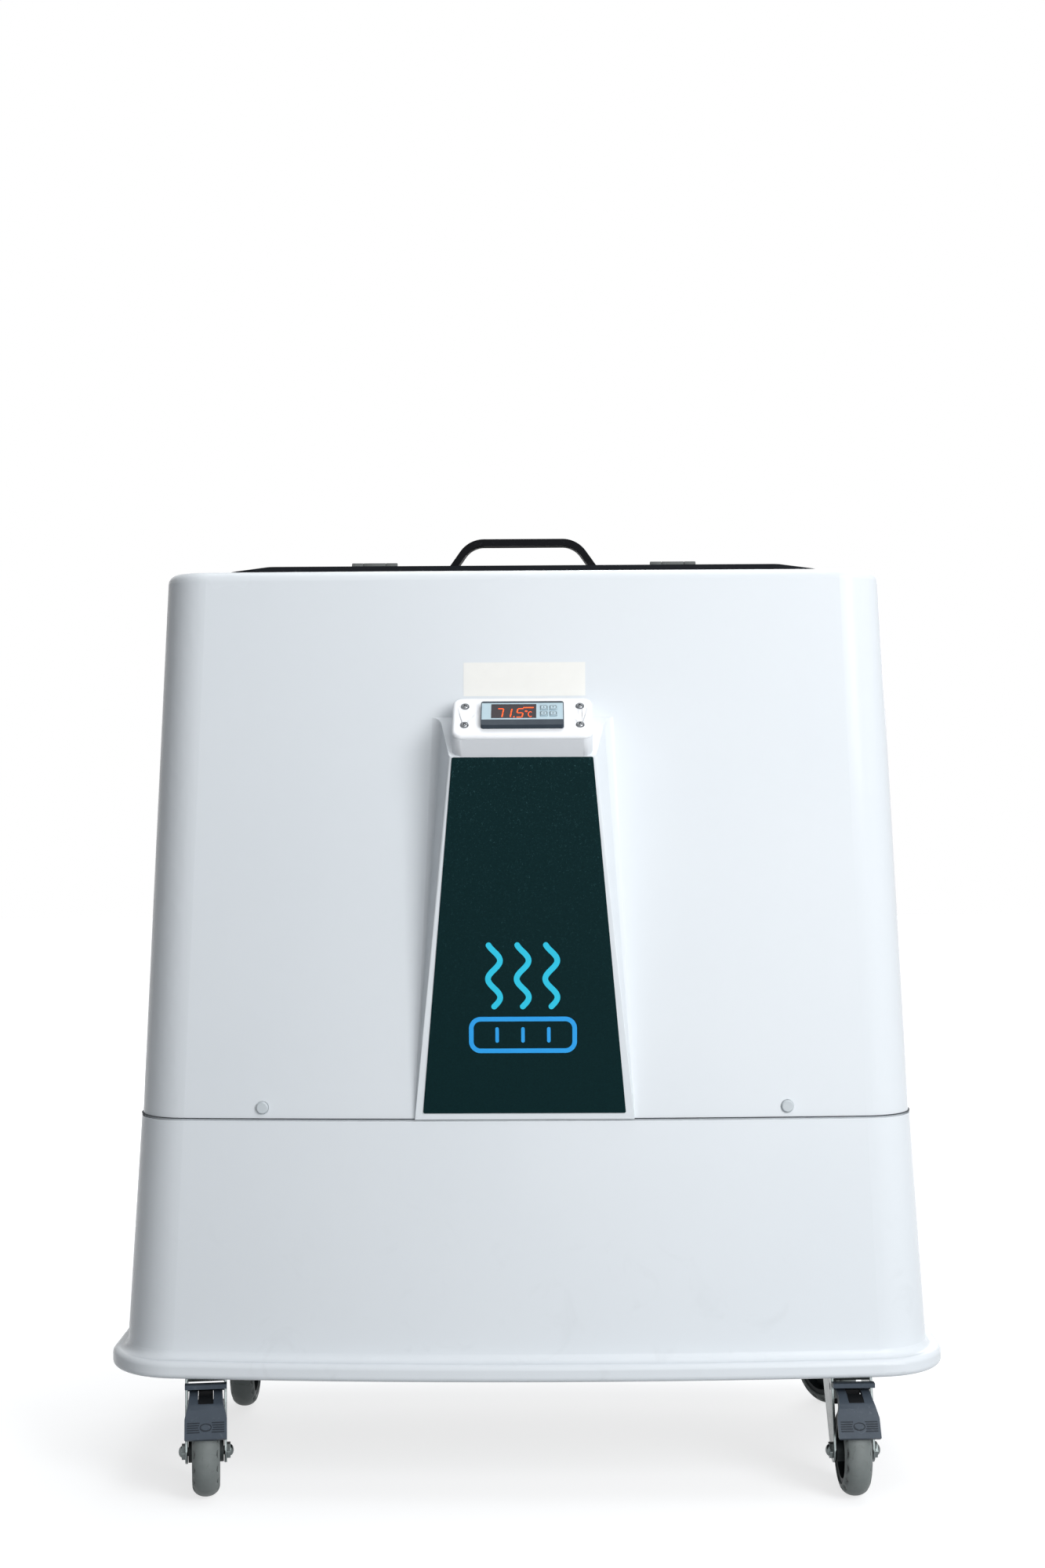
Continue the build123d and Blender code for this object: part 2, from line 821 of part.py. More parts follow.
# Tank: a deep drawn stainless pan whose rim flange lies on the gasket.
rim_top = deck_height + gasket_thickness + tank_wall
tank_floor = rim_top - tank_height
tank_underside = tank_floor - tank_wall
rim_bottom = rim_top - tank_wall
plug_bottom = rim_top - lid_plug_height
element_legs = ((element_left, -element_pitch / 2), (element_left, element_pitch / 2))
with BuildPart() as tank_space:
    with BuildSketch(Plane.XY.offset(tank_floor)):
        RectangleRounded(tank_width, tank_depth, tank_corner)
    extrude(amount=tank_height)
    fillet(tank_space.faces().sort_by(Axis.Z)[0].edges(), tank_bottom_radius)
with BuildPart() as tank:
    with BuildSketch(Plane.XY.offset(tank_underside)):
        RectangleRounded(tank_width + 2 * tank_wall, tank_depth + 2 * tank_wall, tank_corner + tank_wall)
    extrude(amount=tank_height + tank_wall)
    fillet(tank.faces().sort_by(Axis.Z)[0].edges(), tank_bottom_radius + tank_wall)
    with BuildSketch(Plane.XY.offset(rim_bottom)):
        RectangleRounded(
            tank_width + 2 * tank_flange, tank_depth + 2 * tank_flange, tank_corner + tank_flange
        )
    extrude(amount=tank_wall)
    add(tank_space.part, mode=Mode.SUBTRACT)
    with BuildSketch(Plane.XY.offset(tank_underside)):
        with Locations(*element_legs):
            Circle(element_diameter / 2 + running_gap)
        with Locations(probe_place):
            Circle(probe_diameter / 2 + running_gap)
        with Locations((drain_x, drain_tank_y)):
            Circle(drain_pipe_diameter / 2 + running_gap)
    extrude(amount=tank_wall, mode=Mode.SUBTRACT)
tank.part.label = "tank"
export_step(tank.part, "parts/tank.step")

# Tank gasket: a flat rubber ring between the deck and the rim flange.
gasket_inner = deck_opening_reach + fit_gap
with BuildPart() as tank_gasket:
    with BuildSketch(Plane.XY.offset(deck_height)):
        RectangleRounded(
            tank_width + 2 * (gasket_inner + gasket_width),
            tank_depth + 2 * (gasket_inner + gasket_width),
            tank_corner + gasket_inner + gasket_width,
        )
        RectangleRounded(
            tank_width + 2 * gasket_inner,
            tank_depth + 2 * gasket_inner,
            tank_corner + gasket_inner,
            mode=Mode.SUBTRACT,
        )
    extrude(amount=gasket_thickness)
tank_gasket.part.label = "tank_gasket"
export_step(tank_gasket.part, "parts/tank_gasket.step")

# Insulation boards: five foam boards stuck to the flats of the tank.
board_top = deck_bottom - board_top_gap
board_bottom = tank_floor + board_foot_gap
side_board_x = tank_width / 2 + tank_wall
end_board_y = tank_depth / 2 + tank_wall
nut_places = [(place, element_diameter) for place in element_legs]
nut_places += [(probe_place, probe_diameter), ((drain_x, drain_tank_y), drain_pipe_diameter)]
with BuildPart() as insulation_boards:
    with BuildSketch(Plane.XY.offset(board_bottom)):
        with Locations((0, -end_board_y - board_thickness / 2), (0, end_board_y + board_thickness / 2)):
            Rectangle(tank_width - 2 * tank_corner - 2 * board_edge_gap, board_thickness)
        with Locations((-side_board_x - board_thickness / 2, 0), (side_board_x + board_thickness / 2, 0)):
            Rectangle(board_thickness, tank_depth - 2 * tank_corner - 2 * board_edge_gap)
    extrude(amount=board_top - board_bottom)
    with BuildSketch(Plane.XY.offset(tank_underside)):
        Rectangle(tank_width - 2 * bottom_board_end_gap, tank_depth - 2 * bottom_board_side_gap)
        for place, diameter in nut_places:
            with Locations(place):
                Circle(diameter / 2 + nut_hole_reach, mode=Mode.SUBTRACT)
        with Locations(limit_place):
            Circle(limit_diameter / 2 + 2 * fit_gap, mode=Mode.SUBTRACT)
    extrude(amount=-board_thickness)
insulation_boards.part.label = "insulation_boards"
export_step(insulation_boards.part, "parts/insulation_boards.step")

# Tank nuts: hexagon nuts under the tank on the element legs, the probe and the drain pipe.
with BuildPart() as tank_nuts:
    for place, diameter in nut_places:
        with BuildSketch(Plane.XY.offset(tank_underside)):
            with Locations(place):
                RegularPolygon(diameter / 2 + nut_reach, 6)
                Circle(diameter / 2 + running_gap, mode=Mode.SUBTRACT)
        extrude(amount=-nut_height)
tank_nuts.part.label = "tank_nuts"
export_step(tank_nuts.part, "parts/tank_nuts.step")

# Heating element: a sheathed tube bent to a hairpin, its legs through the tank floor.
element_height = tank_floor + element_rise
element_bottom = tank_underside - element_tail
element_radius = element_diameter / 2
with BuildPart() as heating_element:
    for leg_place in element_legs:
        with BuildSketch(Plane.XY.offset(element_bottom)):
            with Locations(leg_place):
                Circle(element_radius)
        extrude(amount=element_height - element_bend - element_bottom)
        with BuildSketch(Plane.XY.offset(element_height - element_bend)):
            with Locations(leg_place):
                Circle(element_radius)
        bend_centre = (element_left + element_bend, 0, element_height - element_bend)
        revolve(axis=Axis(bend_centre, (0, 1, 0)), revolution_arc=90)
        with BuildSketch(Plane.YZ.offset(element_left + element_bend)):
            with Locations((leg_place[1], element_height)):
                Circle(element_radius)
        extrude(amount=element_right - element_left - element_bend)
    with BuildSketch(Plane.YZ.offset(element_right)):
        with Locations((-element_pitch / 2, element_height)):
            Circle(element_radius)
    revolve(axis=Axis((element_right, 0, element_height), (0, 0, 1)), revolution_arc=180)
    with BuildSketch(Plane.XY.offset(tank_floor)):
        with Locations(*element_legs):
            Circle(element_radius + collar_reach)
    extrude(amount=collar_height)
heating_element.part.label = "heating_element"
export_step(heating_element.part, "parts/heating_element.step")

# Element guard: a slotted channel that stands over the element and carries the rack.
guard_top = tank_floor + guard_rise
guard_length = tank_width - 2 * guard_end_gap
guard_depth = tank_depth - 2 * guard_side_gap
with BuildPart() as element_guard:
    with BuildSketch(Plane.YZ):
        with BuildLine():
            Polyline(
                (-guard_depth / 2, tank_floor),
                (-guard_depth / 2, guard_top),
                (guard_depth / 2, guard_top),
                (guard_depth / 2, tank_floor),
                (guard_depth / 2 - guard_sheet, tank_floor),
                (guard_depth / 2 - guard_sheet, guard_top - guard_sheet),
                (guard_sheet - guard_depth / 2, guard_top - guard_sheet),
                (guard_sheet - guard_depth / 2, tank_floor),
                close=True,
            )
        make_face()
    extrude(amount=guard_length / 2, both=True)
    with BuildSketch(Plane.XY.offset(guard_top)):
        with GridLocations(guard_length / (guard_slots + 1), 0, guard_slots, 1):
            Rectangle(guard_slot_width, guard_slot_length)
    extrude(amount=-guard_sheet, mode=Mode.SUBTRACT)
element_guard.part.label = "element_guard"
export_step(element_guard.part, "parts/element_guard.step")

# Temperature probe: a plain well through the tank floor, below the guard.
with BuildPart() as temperature_probe:
    with BuildSketch(Plane.XY.offset(tank_underside - probe_tail)):
        with Locations(probe_place):
            Circle(probe_diameter / 2)
    extrude(amount=probe_rise)
    with BuildSketch(Plane.XY.offset(tank_floor)):
        with Locations(probe_place):
            Circle(probe_diameter / 2 + probe_collar_reach)
    extrude(amount=collar_height)
temperature_probe.part.label = "temperature_probe"
export_step(temperature_probe.part, "parts/temperature_probe.step")

# Limit thermostat: a snap disc held against the underside of the tank.
with BuildPart() as limit_thermostat:
    with BuildSketch(Plane.XY.offset(tank_underside)):
        with Locations(limit_place):
            Circle(limit_diameter / 2)
    extrude(amount=-limit_height)
limit_thermostat.part.label = "limit_thermostat"
export_step(limit_thermostat.part, "parts/limit_thermostat.step")

# Rack dividers: flat wire grids that stand across the tank and part the rows of packs.
hoop_bottom = guard_top + rack_seat_gap
divider_bottom = hoop_bottom + rack_wire + rack_seat_gap
rack_length = tank_width - 2 * rack_end_gap
rack_height = plug_bottom - rack_lid_gap - divider_bottom
hoop_y = tank_depth / 2 - rack_side_gap - rack_wire / 2
rack_pitch = (hoop_y - rack_wire - rack_seat_gap) / ((divider_count - 1) / 2)
wire_radius = rack_wire / 2 / cos(radians(180 / rack_wire_sides))
upright_span = rack_length - rack_wire
low_rail_z = divider_bottom + rack_wire / 2
with BuildPart() as rack_dividers:
    with BuildSketch(Plane.YZ.offset(-rack_length / 2)):
        with GridLocations(rack_pitch, 0, divider_count, 1):
            with Locations((0, low_rail_z), (0, low_rail_z + rack_height - rack_wire)):
                RegularPolygon(wire_radius, rack_wire_sides, rotation=180 / rack_wire_sides)
    extrude(amount=rack_length)
    with BuildSketch(Plane.XY.offset(low_rail_z)):
        with GridLocations(upright_span / divider_windows, rack_pitch, divider_windows + 1, divider_count):
            RegularPolygon(wire_radius, rack_wire_sides, rotation=180 / rack_wire_sides)
    extrude(amount=rack_height - rack_wire)
rack_dividers.part.label = "rack_dividers"
export_step(rack_dividers.part, "parts/rack_dividers.step")

# Rack hoops: wire cradles under and beside the dividers, which they hold together.
hoop_top = divider_bottom + rack_height - hoop_drop
hoop_spread = tank_width - 2 * hoop_end_gap
with BuildPart() as rack_hoops:
    for hoop_x in (-hoop_spread / 2, 0, hoop_spread / 2):
        with BuildSketch(Plane.YZ.offset(hoop_x - rack_wire / 2)):
            with BuildLine():
                Polyline(
                    (-hoop_y, hoop_top),
                    (-hoop_y, hoop_bottom + rack_wire / 2),
                    (hoop_y, hoop_bottom + rack_wire / 2),
                    (hoop_y, hoop_top),
                )
            trace(line_width=rack_wire)
        extrude(amount=rack_wire)
rack_hoops.part.label = "rack_hoops"
export_step(rack_hoops.part, "parts/rack_hoops.step")

# Lid: a shallow pan with a raised field and a plug under it, cut across into two leaves.
lid_rim_top = rim_top + lid_rim_height
lid_field_top = lid_rim_top + lid_field_height
with BuildPart() as lid_form:
    with BuildSketch(Plane.XY.offset(rim_top)):
        RectangleRounded(lid_width, lid_depth, lid_corner)
    extrude(amount=lid_rim_height)
    with BuildSketch(Plane.XY.offset(lid_rim_top)):
        RectangleRounded(lid_width, lid_depth, lid_corner)
    with BuildSketch(Plane.XY.offset(lid_field_top)):
        RectangleRounded(
            lid_width - 2 * lid_field_inset, lid_depth - 2 * lid_field_inset, lid_corner - lid_field_inset
        )
    loft(ruled=True)
    with BuildSketch(Plane.XY.offset(rim_top)):
        RectangleRounded(
            tank_width - 2 * lid_plug_end_gap, tank_depth - 2 * lid_plug_side_gap, lid_plug_corner
        )
    extrude(amount=-lid_plug_height)

leaf_cuts = {"lid_front_leaf": (lid_split / 2, Keep.TOP), "lid_rear_leaf": (-lid_split / 2, Keep.BOTTOM)}
handle_y = -lid_depth / 4
handle_screw_x = handle_foot_spread / 2 - handle_screw_bite / 2 / tan(radians(handle_leg_angle))
handle_screw_places = ((-handle_screw_x, handle_y), (handle_screw_x, handle_y))

# Lid leaves: the front one folds back on the rear one and carries the handle.
for leaf_name, (cut_offset, side) in leaf_cuts.items():
    with BuildPart() as leaf:
        add(lid_form.part)
        split(bisect_by=Plane.XZ.offset(cut_offset), keep=side)
        if leaf_name == "lid_front_leaf":
            with BuildSketch(Plane.XY.offset(plug_bottom)):
                with Locations(*handle_screw_places):
                    Circle(handle_screw_diameter / 2 + running_gap)
            extrude(amount=lid_field_top - plug_bottom, mode=Mode.SUBTRACT)
            with BuildSketch(Plane.XY.offset(plug_bottom)):
                with Locations(*handle_screw_places):
                    Circle(handle_screw_head / 2 + fit_gap)
            extrude(amount=handle_screw_recess, mode=Mode.SUBTRACT)
    leaf.part.label = leaf_name
    export_step(leaf.part, f"parts/{leaf_name}.step")

# Lid handle: a thick flat strip bent to a low arch, standing on the front leaf.
handle_centre_rise = handle_rise - handle_strip / 2
handle_corner_x = handle_foot_spread / 2 - handle_centre_rise / tan(radians(handle_leg_angle))
handle_sole = handle_strip
handle_sole_x = handle_foot_spread / 2 + handle_sole / tan(radians(handle_leg_angle))
with BuildPart() as lid_handle:
    with BuildSketch(Plane.XZ.offset(-handle_y)):
        with BuildLine():
            FilletPolyline(
                (-handle_sole_x, lid_field_top - handle_sole),
                (-handle_corner_x, lid_field_top + handle_centre_rise),
                (handle_corner_x, lid_field_top + handle_centre_rise),
                (handle_sole_x, lid_field_top - handle_sole),
                radius=handle_bend,
            )
        trace(line_width=handle_strip)
    extrude(amount=handle_depth / 2, both=True)
    split(bisect_by=Plane.XY.offset(lid_field_top), keep=Keep.TOP)
    with BuildSketch(Plane.XY.offset(lid_field_top)):
        with Locations(*handle_screw_places):
            Circle(handle_screw_diameter / 2 + running_gap)
    extrude(amount=handle_screw_bite, mode=Mode.SUBTRACT)
lid_handle.part.label = "lid_handle"
export_step(lid_handle.part, "parts/lid_handle.step")

# Handle screws: two screws from under the front leaf into the handle's feet.
with BuildPart() as lid_handle_screws:
    with BuildSketch(Plane.XY.offset(plug_bottom + handle_screw_recess)):
        with Locations(*handle_screw_places):
            Circle(handle_screw_head / 2)
    extrude(amount=-handle_screw_head_height)
    with BuildSketch(Plane.XY.offset(plug_bottom + handle_screw_recess)):
        with Locations(*handle_screw_places):
            Circle(handle_screw_diameter / 2)
    extrude(amount=lid_field_top + handle_screw_bite - running_gap - plug_bottom - handle_screw_recess)
lid_handle_screws.part.label = "lid_handle_screws"
export_step(lid_handle_screws.part, "parts/lid_handle_screws.step")

# Lid hinges: two barrels over the cut, with two knuckles in front and one behind, on one pin each.
hinge_axis_z = lid_field_top + hinge_axis_rise
hinge_radius = hinge_barrel_diameter / 2
strap_drop = hinge_axis_rise - hinge_strap_thickness
strap_end = ((hinge_radius + hinge_knuckle_gap) ** 2 - strap_drop**2) ** 0.5
strap_centre = (strap_end + hinge_strap_length) / 2
outer_knuckle = hinge_length / 4
middle_knuckle = hinge_length - 2 * outer_knuckle - 2 * hinge_knuckle_gap
outer_knuckle_x = (hinge_length - outer_knuckle) / 2
hinge_places = (-hinge_spread / 2, hinge_spread / 2)
hinge_sides = {
    "lid_hinge_front_straps": (-1, outer_knuckle, (-outer_knuckle_x, outer_knuckle_x)),
    "lid_hinge_rear_straps": (1, middle_knuckle, (0.0,)),
}
for strap_name, (way, knuckle, shifts) in hinge_sides.items():
    with BuildPart() as straps:
        for hinge_x in hinge_places:
            with BuildSketch(Plane.YZ.offset(hinge_x)):
                with Locations((way * strap_centre, lid_field_top + hinge_strap_thickness / 2)):
                    Rectangle(hinge_strap_length - strap_end, hinge_strap_thickness)
            extrude(amount=hinge_length / 2, both=True)
            for shift in shifts:
                with BuildSketch(Plane.YZ.offset(hinge_x + shift)):
                    with Locations((0, hinge_axis_z)):
                        Circle(hinge_radius)
                    with Locations((way * hinge_radius / 2, lid_field_top + hinge_axis_rise / 2)):
                        Rectangle(hinge_radius, hinge_axis_rise)
                    with Locations((0, hinge_axis_z)):
                        Circle(hinge_pin_diameter / 2 + running_gap, mode=Mode.SUBTRACT)
                extrude(amount=knuckle / 2, both=True)
    straps.part.label = strap_name
    export_step(straps.part, f"parts/{strap_name}.step")

# Hinge pins: one plain pin through the three knuckles of each hinge.
with BuildPart() as lid_hinge_pins:
    for hinge_x in hinge_places:
        with BuildSketch(Plane.YZ.offset(hinge_x)):
            with Locations((0, hinge_axis_z)):
                Circle(hinge_pin_diameter / 2)
        extrude(amount=hinge_length / 2, both=True)
lid_hinge_pins.part.label = "lid_hinge_pins"
export_step(lid_hinge_pins.part, "parts/lid_hinge_pins.step")

# Drain pipe: from a collar in the tank floor down and back to the valve's tail.
valve_tail_y = recess_back - wall - valve_tail_length
drain_bend_y = drain_tank_y + drain_bend
drain_bend_z = drain_height + drain_bend
drain_ring = ((drain_pipe_diameter / 2, Mode.ADD), (drain_pipe_bore / 2, Mode.SUBTRACT))
with BuildPart() as drain_pipe:
    with BuildSketch(Plane.XY.offset(drain_bend_z)):
        with Locations((drain_x, drain_tank_y)):
            for ring_radius, ring_mode in drain_ring:
                Circle(ring_radius, mode=ring_mode)
    extrude(amount=tank_floor + collar_height - drain_bend_z)
    with BuildSketch(Plane.XY.offset(drain_bend_z)):
        with Locations((drain_x, drain_tank_y)):
            for ring_radius, ring_mode in drain_ring:
                Circle(ring_radius, mode=ring_mode)
    revolve(axis=Axis((drain_x, drain_bend_y, drain_bend_z), (1, 0, 0)), revolution_arc=90)
    with BuildSketch(Plane.XZ.offset(-drain_bend_y)):
        with Locations((drain_x, drain_height)):
            for ring_radius, ring_mode in drain_ring:
                Circle(ring_radius, mode=ring_mode)
    extrude(amount=drain_bend_y - valve_tail_y)
    with BuildSketch(Plane.XY.offset(tank_floor)):
        with Locations((drain_x, drain_tank_y)):
            Circle(drain_pipe_diameter / 2 + collar_reach)
            Circle(drain_pipe_diameter / 2, mode=Mode.SUBTRACT)
    extrude(amount=collar_height)
drain_pipe.part.label = "drain_pipe"
export_step(drain_pipe.part, "parts/drain_pipe.step")

# Drain valve: a turned brass body through the recess wall, closed by its ball, with a plain spout.
valve_plane = Plane(origin=(drain_x, valve_tail_y, drain_height), x_dir=(0, 1, 0), z_dir=(1, 0, 0))
flange_at = valve_tail_length + wall
body_at = flange_at + valve_flange_length
neck_at = body_at + valve_body_length
spout_end = neck_at + spout_length
stem_x = body_at + valve_body_length / 2
with BuildPart() as drain_valve_body:
    with BuildSketch(valve_plane):
        with BuildLine():
            Polyline(
                (0, drain_pipe_bore / 2),
                (0, drain_pipe_diameter / 2),
                (flange_at, drain_pipe_diameter / 2),
                (flange_at, valve_flange_diameter / 2),
                (body_at, valve_flange_diameter / 2),
                (body_at, valve_body_diameter / 2),
                (neck_at, valve_body_diameter / 2),
                (neck_at, spout_diameter / 2),
                (spout_end, spout_diameter / 2),
                (spout_end, spout_bore / 2),
                (neck_at, spout_bore / 2),
                (neck_at, 0),
                (flange_at, 0),
                (flange_at, drain_pipe_bore / 2),
                close=True,
            )
        make_face()
    revolve(axis=Axis(valve_plane.origin, valve_plane.x_dir))
    with BuildSketch(Plane.XY.offset(drain_height)):
        with Locations((drain_x, valve_tail_y + stem_x)):
            Circle(stem_boss_diameter / 2)
    extrude(amount=stem_boss_height)
    with BuildSketch(Plane.XY.offset(drain_height + stem_boss_height)):
        with Locations((drain_x, valve_tail_y + stem_x)):
            Circle(stem_diameter / 2 + running_gap)
    extrude(amount=-stem_height, mode=Mode.SUBTRACT)
drain_valve_body.part.label = "drain_valve_body"
export_step(drain_valve_body.part, "parts/drain_valve_body.step")

# Drain lever: a flat quarter turn lever on the valve's stem, across the pipe when shut.
lever_z = drain_height + stem_boss_height + lever_drop
with BuildPart() as drain_lever:
    with BuildSketch(Plane.XY.offset(lever_z)):
        with Locations((drain_x, valve_tail_y + stem_x)):
            Circle(lever_hub_diameter / 2)
            with Locations((-lever_length / 2, 0)):
                SlotCenterToCenter(lever_length - lever_width, lever_width)
            Rectangle(lever_width, lever_width)
    extrude(amount=lever_thickness)
    with BuildSketch(Plane.XY.offset(lever_z)):
        with Locations((drain_x, valve_tail_y + stem_x)):
            Circle(stem_diameter / 2)
    extrude(amount=-stem_height)
drain_lever.part.label = "drain_lever"
export_step(drain_lever.part, "parts/drain_lever.step")

# Service plate: a flat steel plate on the rear land, cut out for the inlet and the switch.
plate_face = Plane(
    origin=(land_x, land_back + plate_thickness, land_centre_height), x_dir=(-1, 0, 0), z_dir=(0, 1, 0)
)
with BuildPart() as service_plate:
    with BuildSketch(plate_face):
        RectangleRounded(plate_width, plate_height, plate_screw_inset)
        with Locations(*plate_screw_places):
            Circle(screw_diameter / 2 + fit_gap, mode=Mode.SUBTRACT)
        with Locations((inlet_offset, 0)):
            Rectangle(inlet_width + 2 * fit_gap, inlet_height + 2 * fit_gap, mode=Mode.SUBTRACT)
        with Locations((switch_offset, 0)):
            Rectangle(switch_width + 2 * fit_gap, switch_height + 2 * fit_gap, mode=Mode.SUBTRACT)
    extrude(amount=-plate_thickness)
service_plate.part.label = "service_plate"
export_step(service_plate.part, "parts/service_plate.step")

# Pan head screws: twelve alike, four in the control box, four in the service plate, four in the seam.
with BuildPart() as pan_head_screws:
    with BuildSketch(cover_top):
        with Locations(*cover_screw_places):
            Circle(screw_head / 2)
    extrude(amount=screw_head_height)
    with BuildSketch(cover_top):
        with Locations(*cover_screw_places):
            Circle(screw_diameter / 2 - running_gap)
    extrude(amount=-screw_length)
    with BuildSketch(plate_face):
        with Locations(*plate_screw_places):
            Circle(screw_head / 2)
    extrude(amount=screw_head_height)
    with BuildSketch(plate_face):
        with Locations(*plate_screw_places):
            Circle(screw_diameter / 2 - running_gap)
    extrude(amount=-screw_length)
    for seat in seam_seats:
        with BuildSketch(seat):
            with Locations(*seam_screw_places):
                Circle(screw_head / 2)
        extrude(amount=screw_head_height)
        with BuildSketch(seat):
            with Locations(*seam_screw_places):
                Circle(screw_diameter / 2 - running_gap)
        extrude(amount=-screw_length)
pan_head_screws.part.label = "pan_head_screws"
export_step(pan_head_screws.part, "parts/pan_head_screws.step")

# Mains inlet: a snap-in socket with three flat pins.
inlet_pins = [(x * inlet_pin_pitch, (0.5 - abs(x)) * inlet_earth_rise) for x in (-1, 0, 1)]
with BuildPart() as mains_inlet:
    with BuildSketch(plate_face):
        with Locations((inlet_offset, 0)):
            Rectangle(inlet_width + 2 * inlet_flange_reach, inlet_height + 2 * inlet_flange_reach)
    extrude(amount=inlet_flange)
    with BuildSketch(plate_face):
        with Locations((inlet_offset, 0)):
            Rectangle(inlet_width, inlet_height)
    extrude(amount=-inlet_depth)
    with BuildSketch(plate_face.offset(inlet_flange)):
        with Locations((inlet_offset, 0)):
            Rectangle(inlet_socket_width, inlet_socket_height)
    extrude(amount=-inlet_socket_depth, mode=Mode.SUBTRACT)
    with BuildSketch(plate_face.offset(inlet_flange - inlet_socket_depth)):
        with Locations((inlet_offset, 0)):
            with Locations(*inlet_pins):
                Rectangle(inlet_pin_width, inlet_pin_height)
    extrude(amount=inlet_pin_length)
mains_inlet.part.label = "mains_inlet"
export_step(mains_inlet.part, "parts/mains_inlet.step")

# Power switch frame: a snap-in frame that the rocker pivots in.
rocker_plane = plate_face.offset(switch_flange - rocker_pivot_depth)
rocker_pivot = rocker_plane.from_local_coords((switch_offset, 0, 0))
with BuildPart() as power_switch_frame:
    with BuildSketch(plate_face):
        with Locations((switch_offset, 0)):
            Rectangle(switch_width + 2 * switch_flange_reach, switch_height + 2 * switch_flange_reach)
    extrude(amount=switch_flange)
    with BuildSketch(plate_face):
        with Locations((switch_offset, 0)):
            Rectangle(switch_width, switch_height)
    extrude(amount=-switch_depth)
    with BuildSketch(plate_face.offset(switch_flange)):
        with Locations((switch_offset, 0)):
            Rectangle(switch_width - 2 * switch_wall, switch_height - 2 * switch_wall)
    extrude(amount=switch_wall - switch_depth, mode=Mode.SUBTRACT)
    with BuildSketch(Plane(origin=rocker_pivot, z_dir=(1, 0, 0))):
        Circle(rocker_pin_diameter / 2 + running_gap)
    extrude(amount=switch_width / 2 - running_gap, both=True, mode=Mode.SUBTRACT)
power_switch_frame.part.label = "power_switch_frame"
export_step(power_switch_frame.part, "parts/power_switch_frame.step")

# Power rocker: a shallow V topped rocker, at rest tipped to its off side.
rocker_half_height = switch_height / 2 - switch_wall - rocker_end_gap
rocker_half_width = switch_width / 2 - switch_wall - fit_gap
rocker_lean = radians(rocker_tilt)
rocker_side = Plane(origin=rocker_pivot, x_dir=(0, -sin(rocker_lean), cos(rocker_lean)), z_dir=(1, 0, 0))
rocker_top = rocker_pivot_depth + rocker_proud
with BuildPart() as power_rocker:
    with BuildSketch(rocker_side):
        with BuildLine():
            Polyline(
                (-rocker_half_height, 0),
                (-rocker_half_height, -rocker_top),
                (0, -rocker_top + rocker_half_height * tan(radians(rocker_tilt))),
                (rocker_half_height, -rocker_top),
                (rocker_half_height, 0),
                (rocker_half_height / 2, rocker_drop),
                (-rocker_half_height / 2, rocker_drop),
                close=True,
            )
        make_face()
    extrude(amount=rocker_half_width, both=True)
    with BuildSketch(Plane(origin=rocker_pivot, z_dir=(1, 0, 0))):
        Circle(rocker_pin_diameter / 2)
    extrude(amount=switch_width / 2 - 2 * running_gap, both=True)
power_rocker.part.label = "power_rocker"
export_step(power_rocker.part, "parts/power_rocker.step")

# Chassis plate: a steel plate inside the lip, bored for the four caster shanks.
caster_places = {}
for corner in caster_turns:
    caster_x = (lip_width / 2 - caster_inset[0]) * (-1 if "left" in corner else 1)
    caster_y = (lip_depth / 2 - caster_inset[1]) * (-1 if "front" in corner else 1)
    caster_places[corner] = (caster_x, caster_y)
with BuildPart() as chassis_plate:
    extrude(outline(lower_foot, chassis_bottom, wall + chassis_gap), chassis_thickness)
    with BuildSketch(Plane.XY.offset(chassis_bottom)):
        with Locations(*caster_places.values()):
            Circle(stem_shank_diameter / 2 + fit_gap)
    extrude(amount=chassis_thickness, mode=Mode.SUBTRACT)
chassis_plate.part.label = "chassis_plate"
export_step(chassis_plate.part, "parts/chassis_plate.step")

# Tank posts: four bars that carry the tank on the chassis.
with BuildPart() as tank_posts:
    with BuildSketch(Plane.XY.offset(chassis_top)):
        with Locations(*four_places(tank_width - 2 * post_end_inset, tank_depth - 2 * post_side_inset)):
            Rectangle(post_size, post_size)
    extrude(amount=tank_underside - chassis_top)
tank_posts.part.label = "tank_posts"
export_step(tank_posts.part, "parts/tank_posts.step")

# Relay box: a closed box on the chassis for the heater's relay and terminals.
with BuildPart() as relay_box:
    with BuildSketch(Plane.XY.offset(chassis_top)):
        with Locations(relay_place):
            RectangleRounded(relay_width, relay_depth, relay_edge)
    extrude(amount=relay_height)
    chamfer(relay_box.faces().sort_by(Axis.Z)[-1].edges(), relay_chamfer)
relay_box.part.label = "relay_box"
export_step(relay_box.part, "parts/relay_box.step")

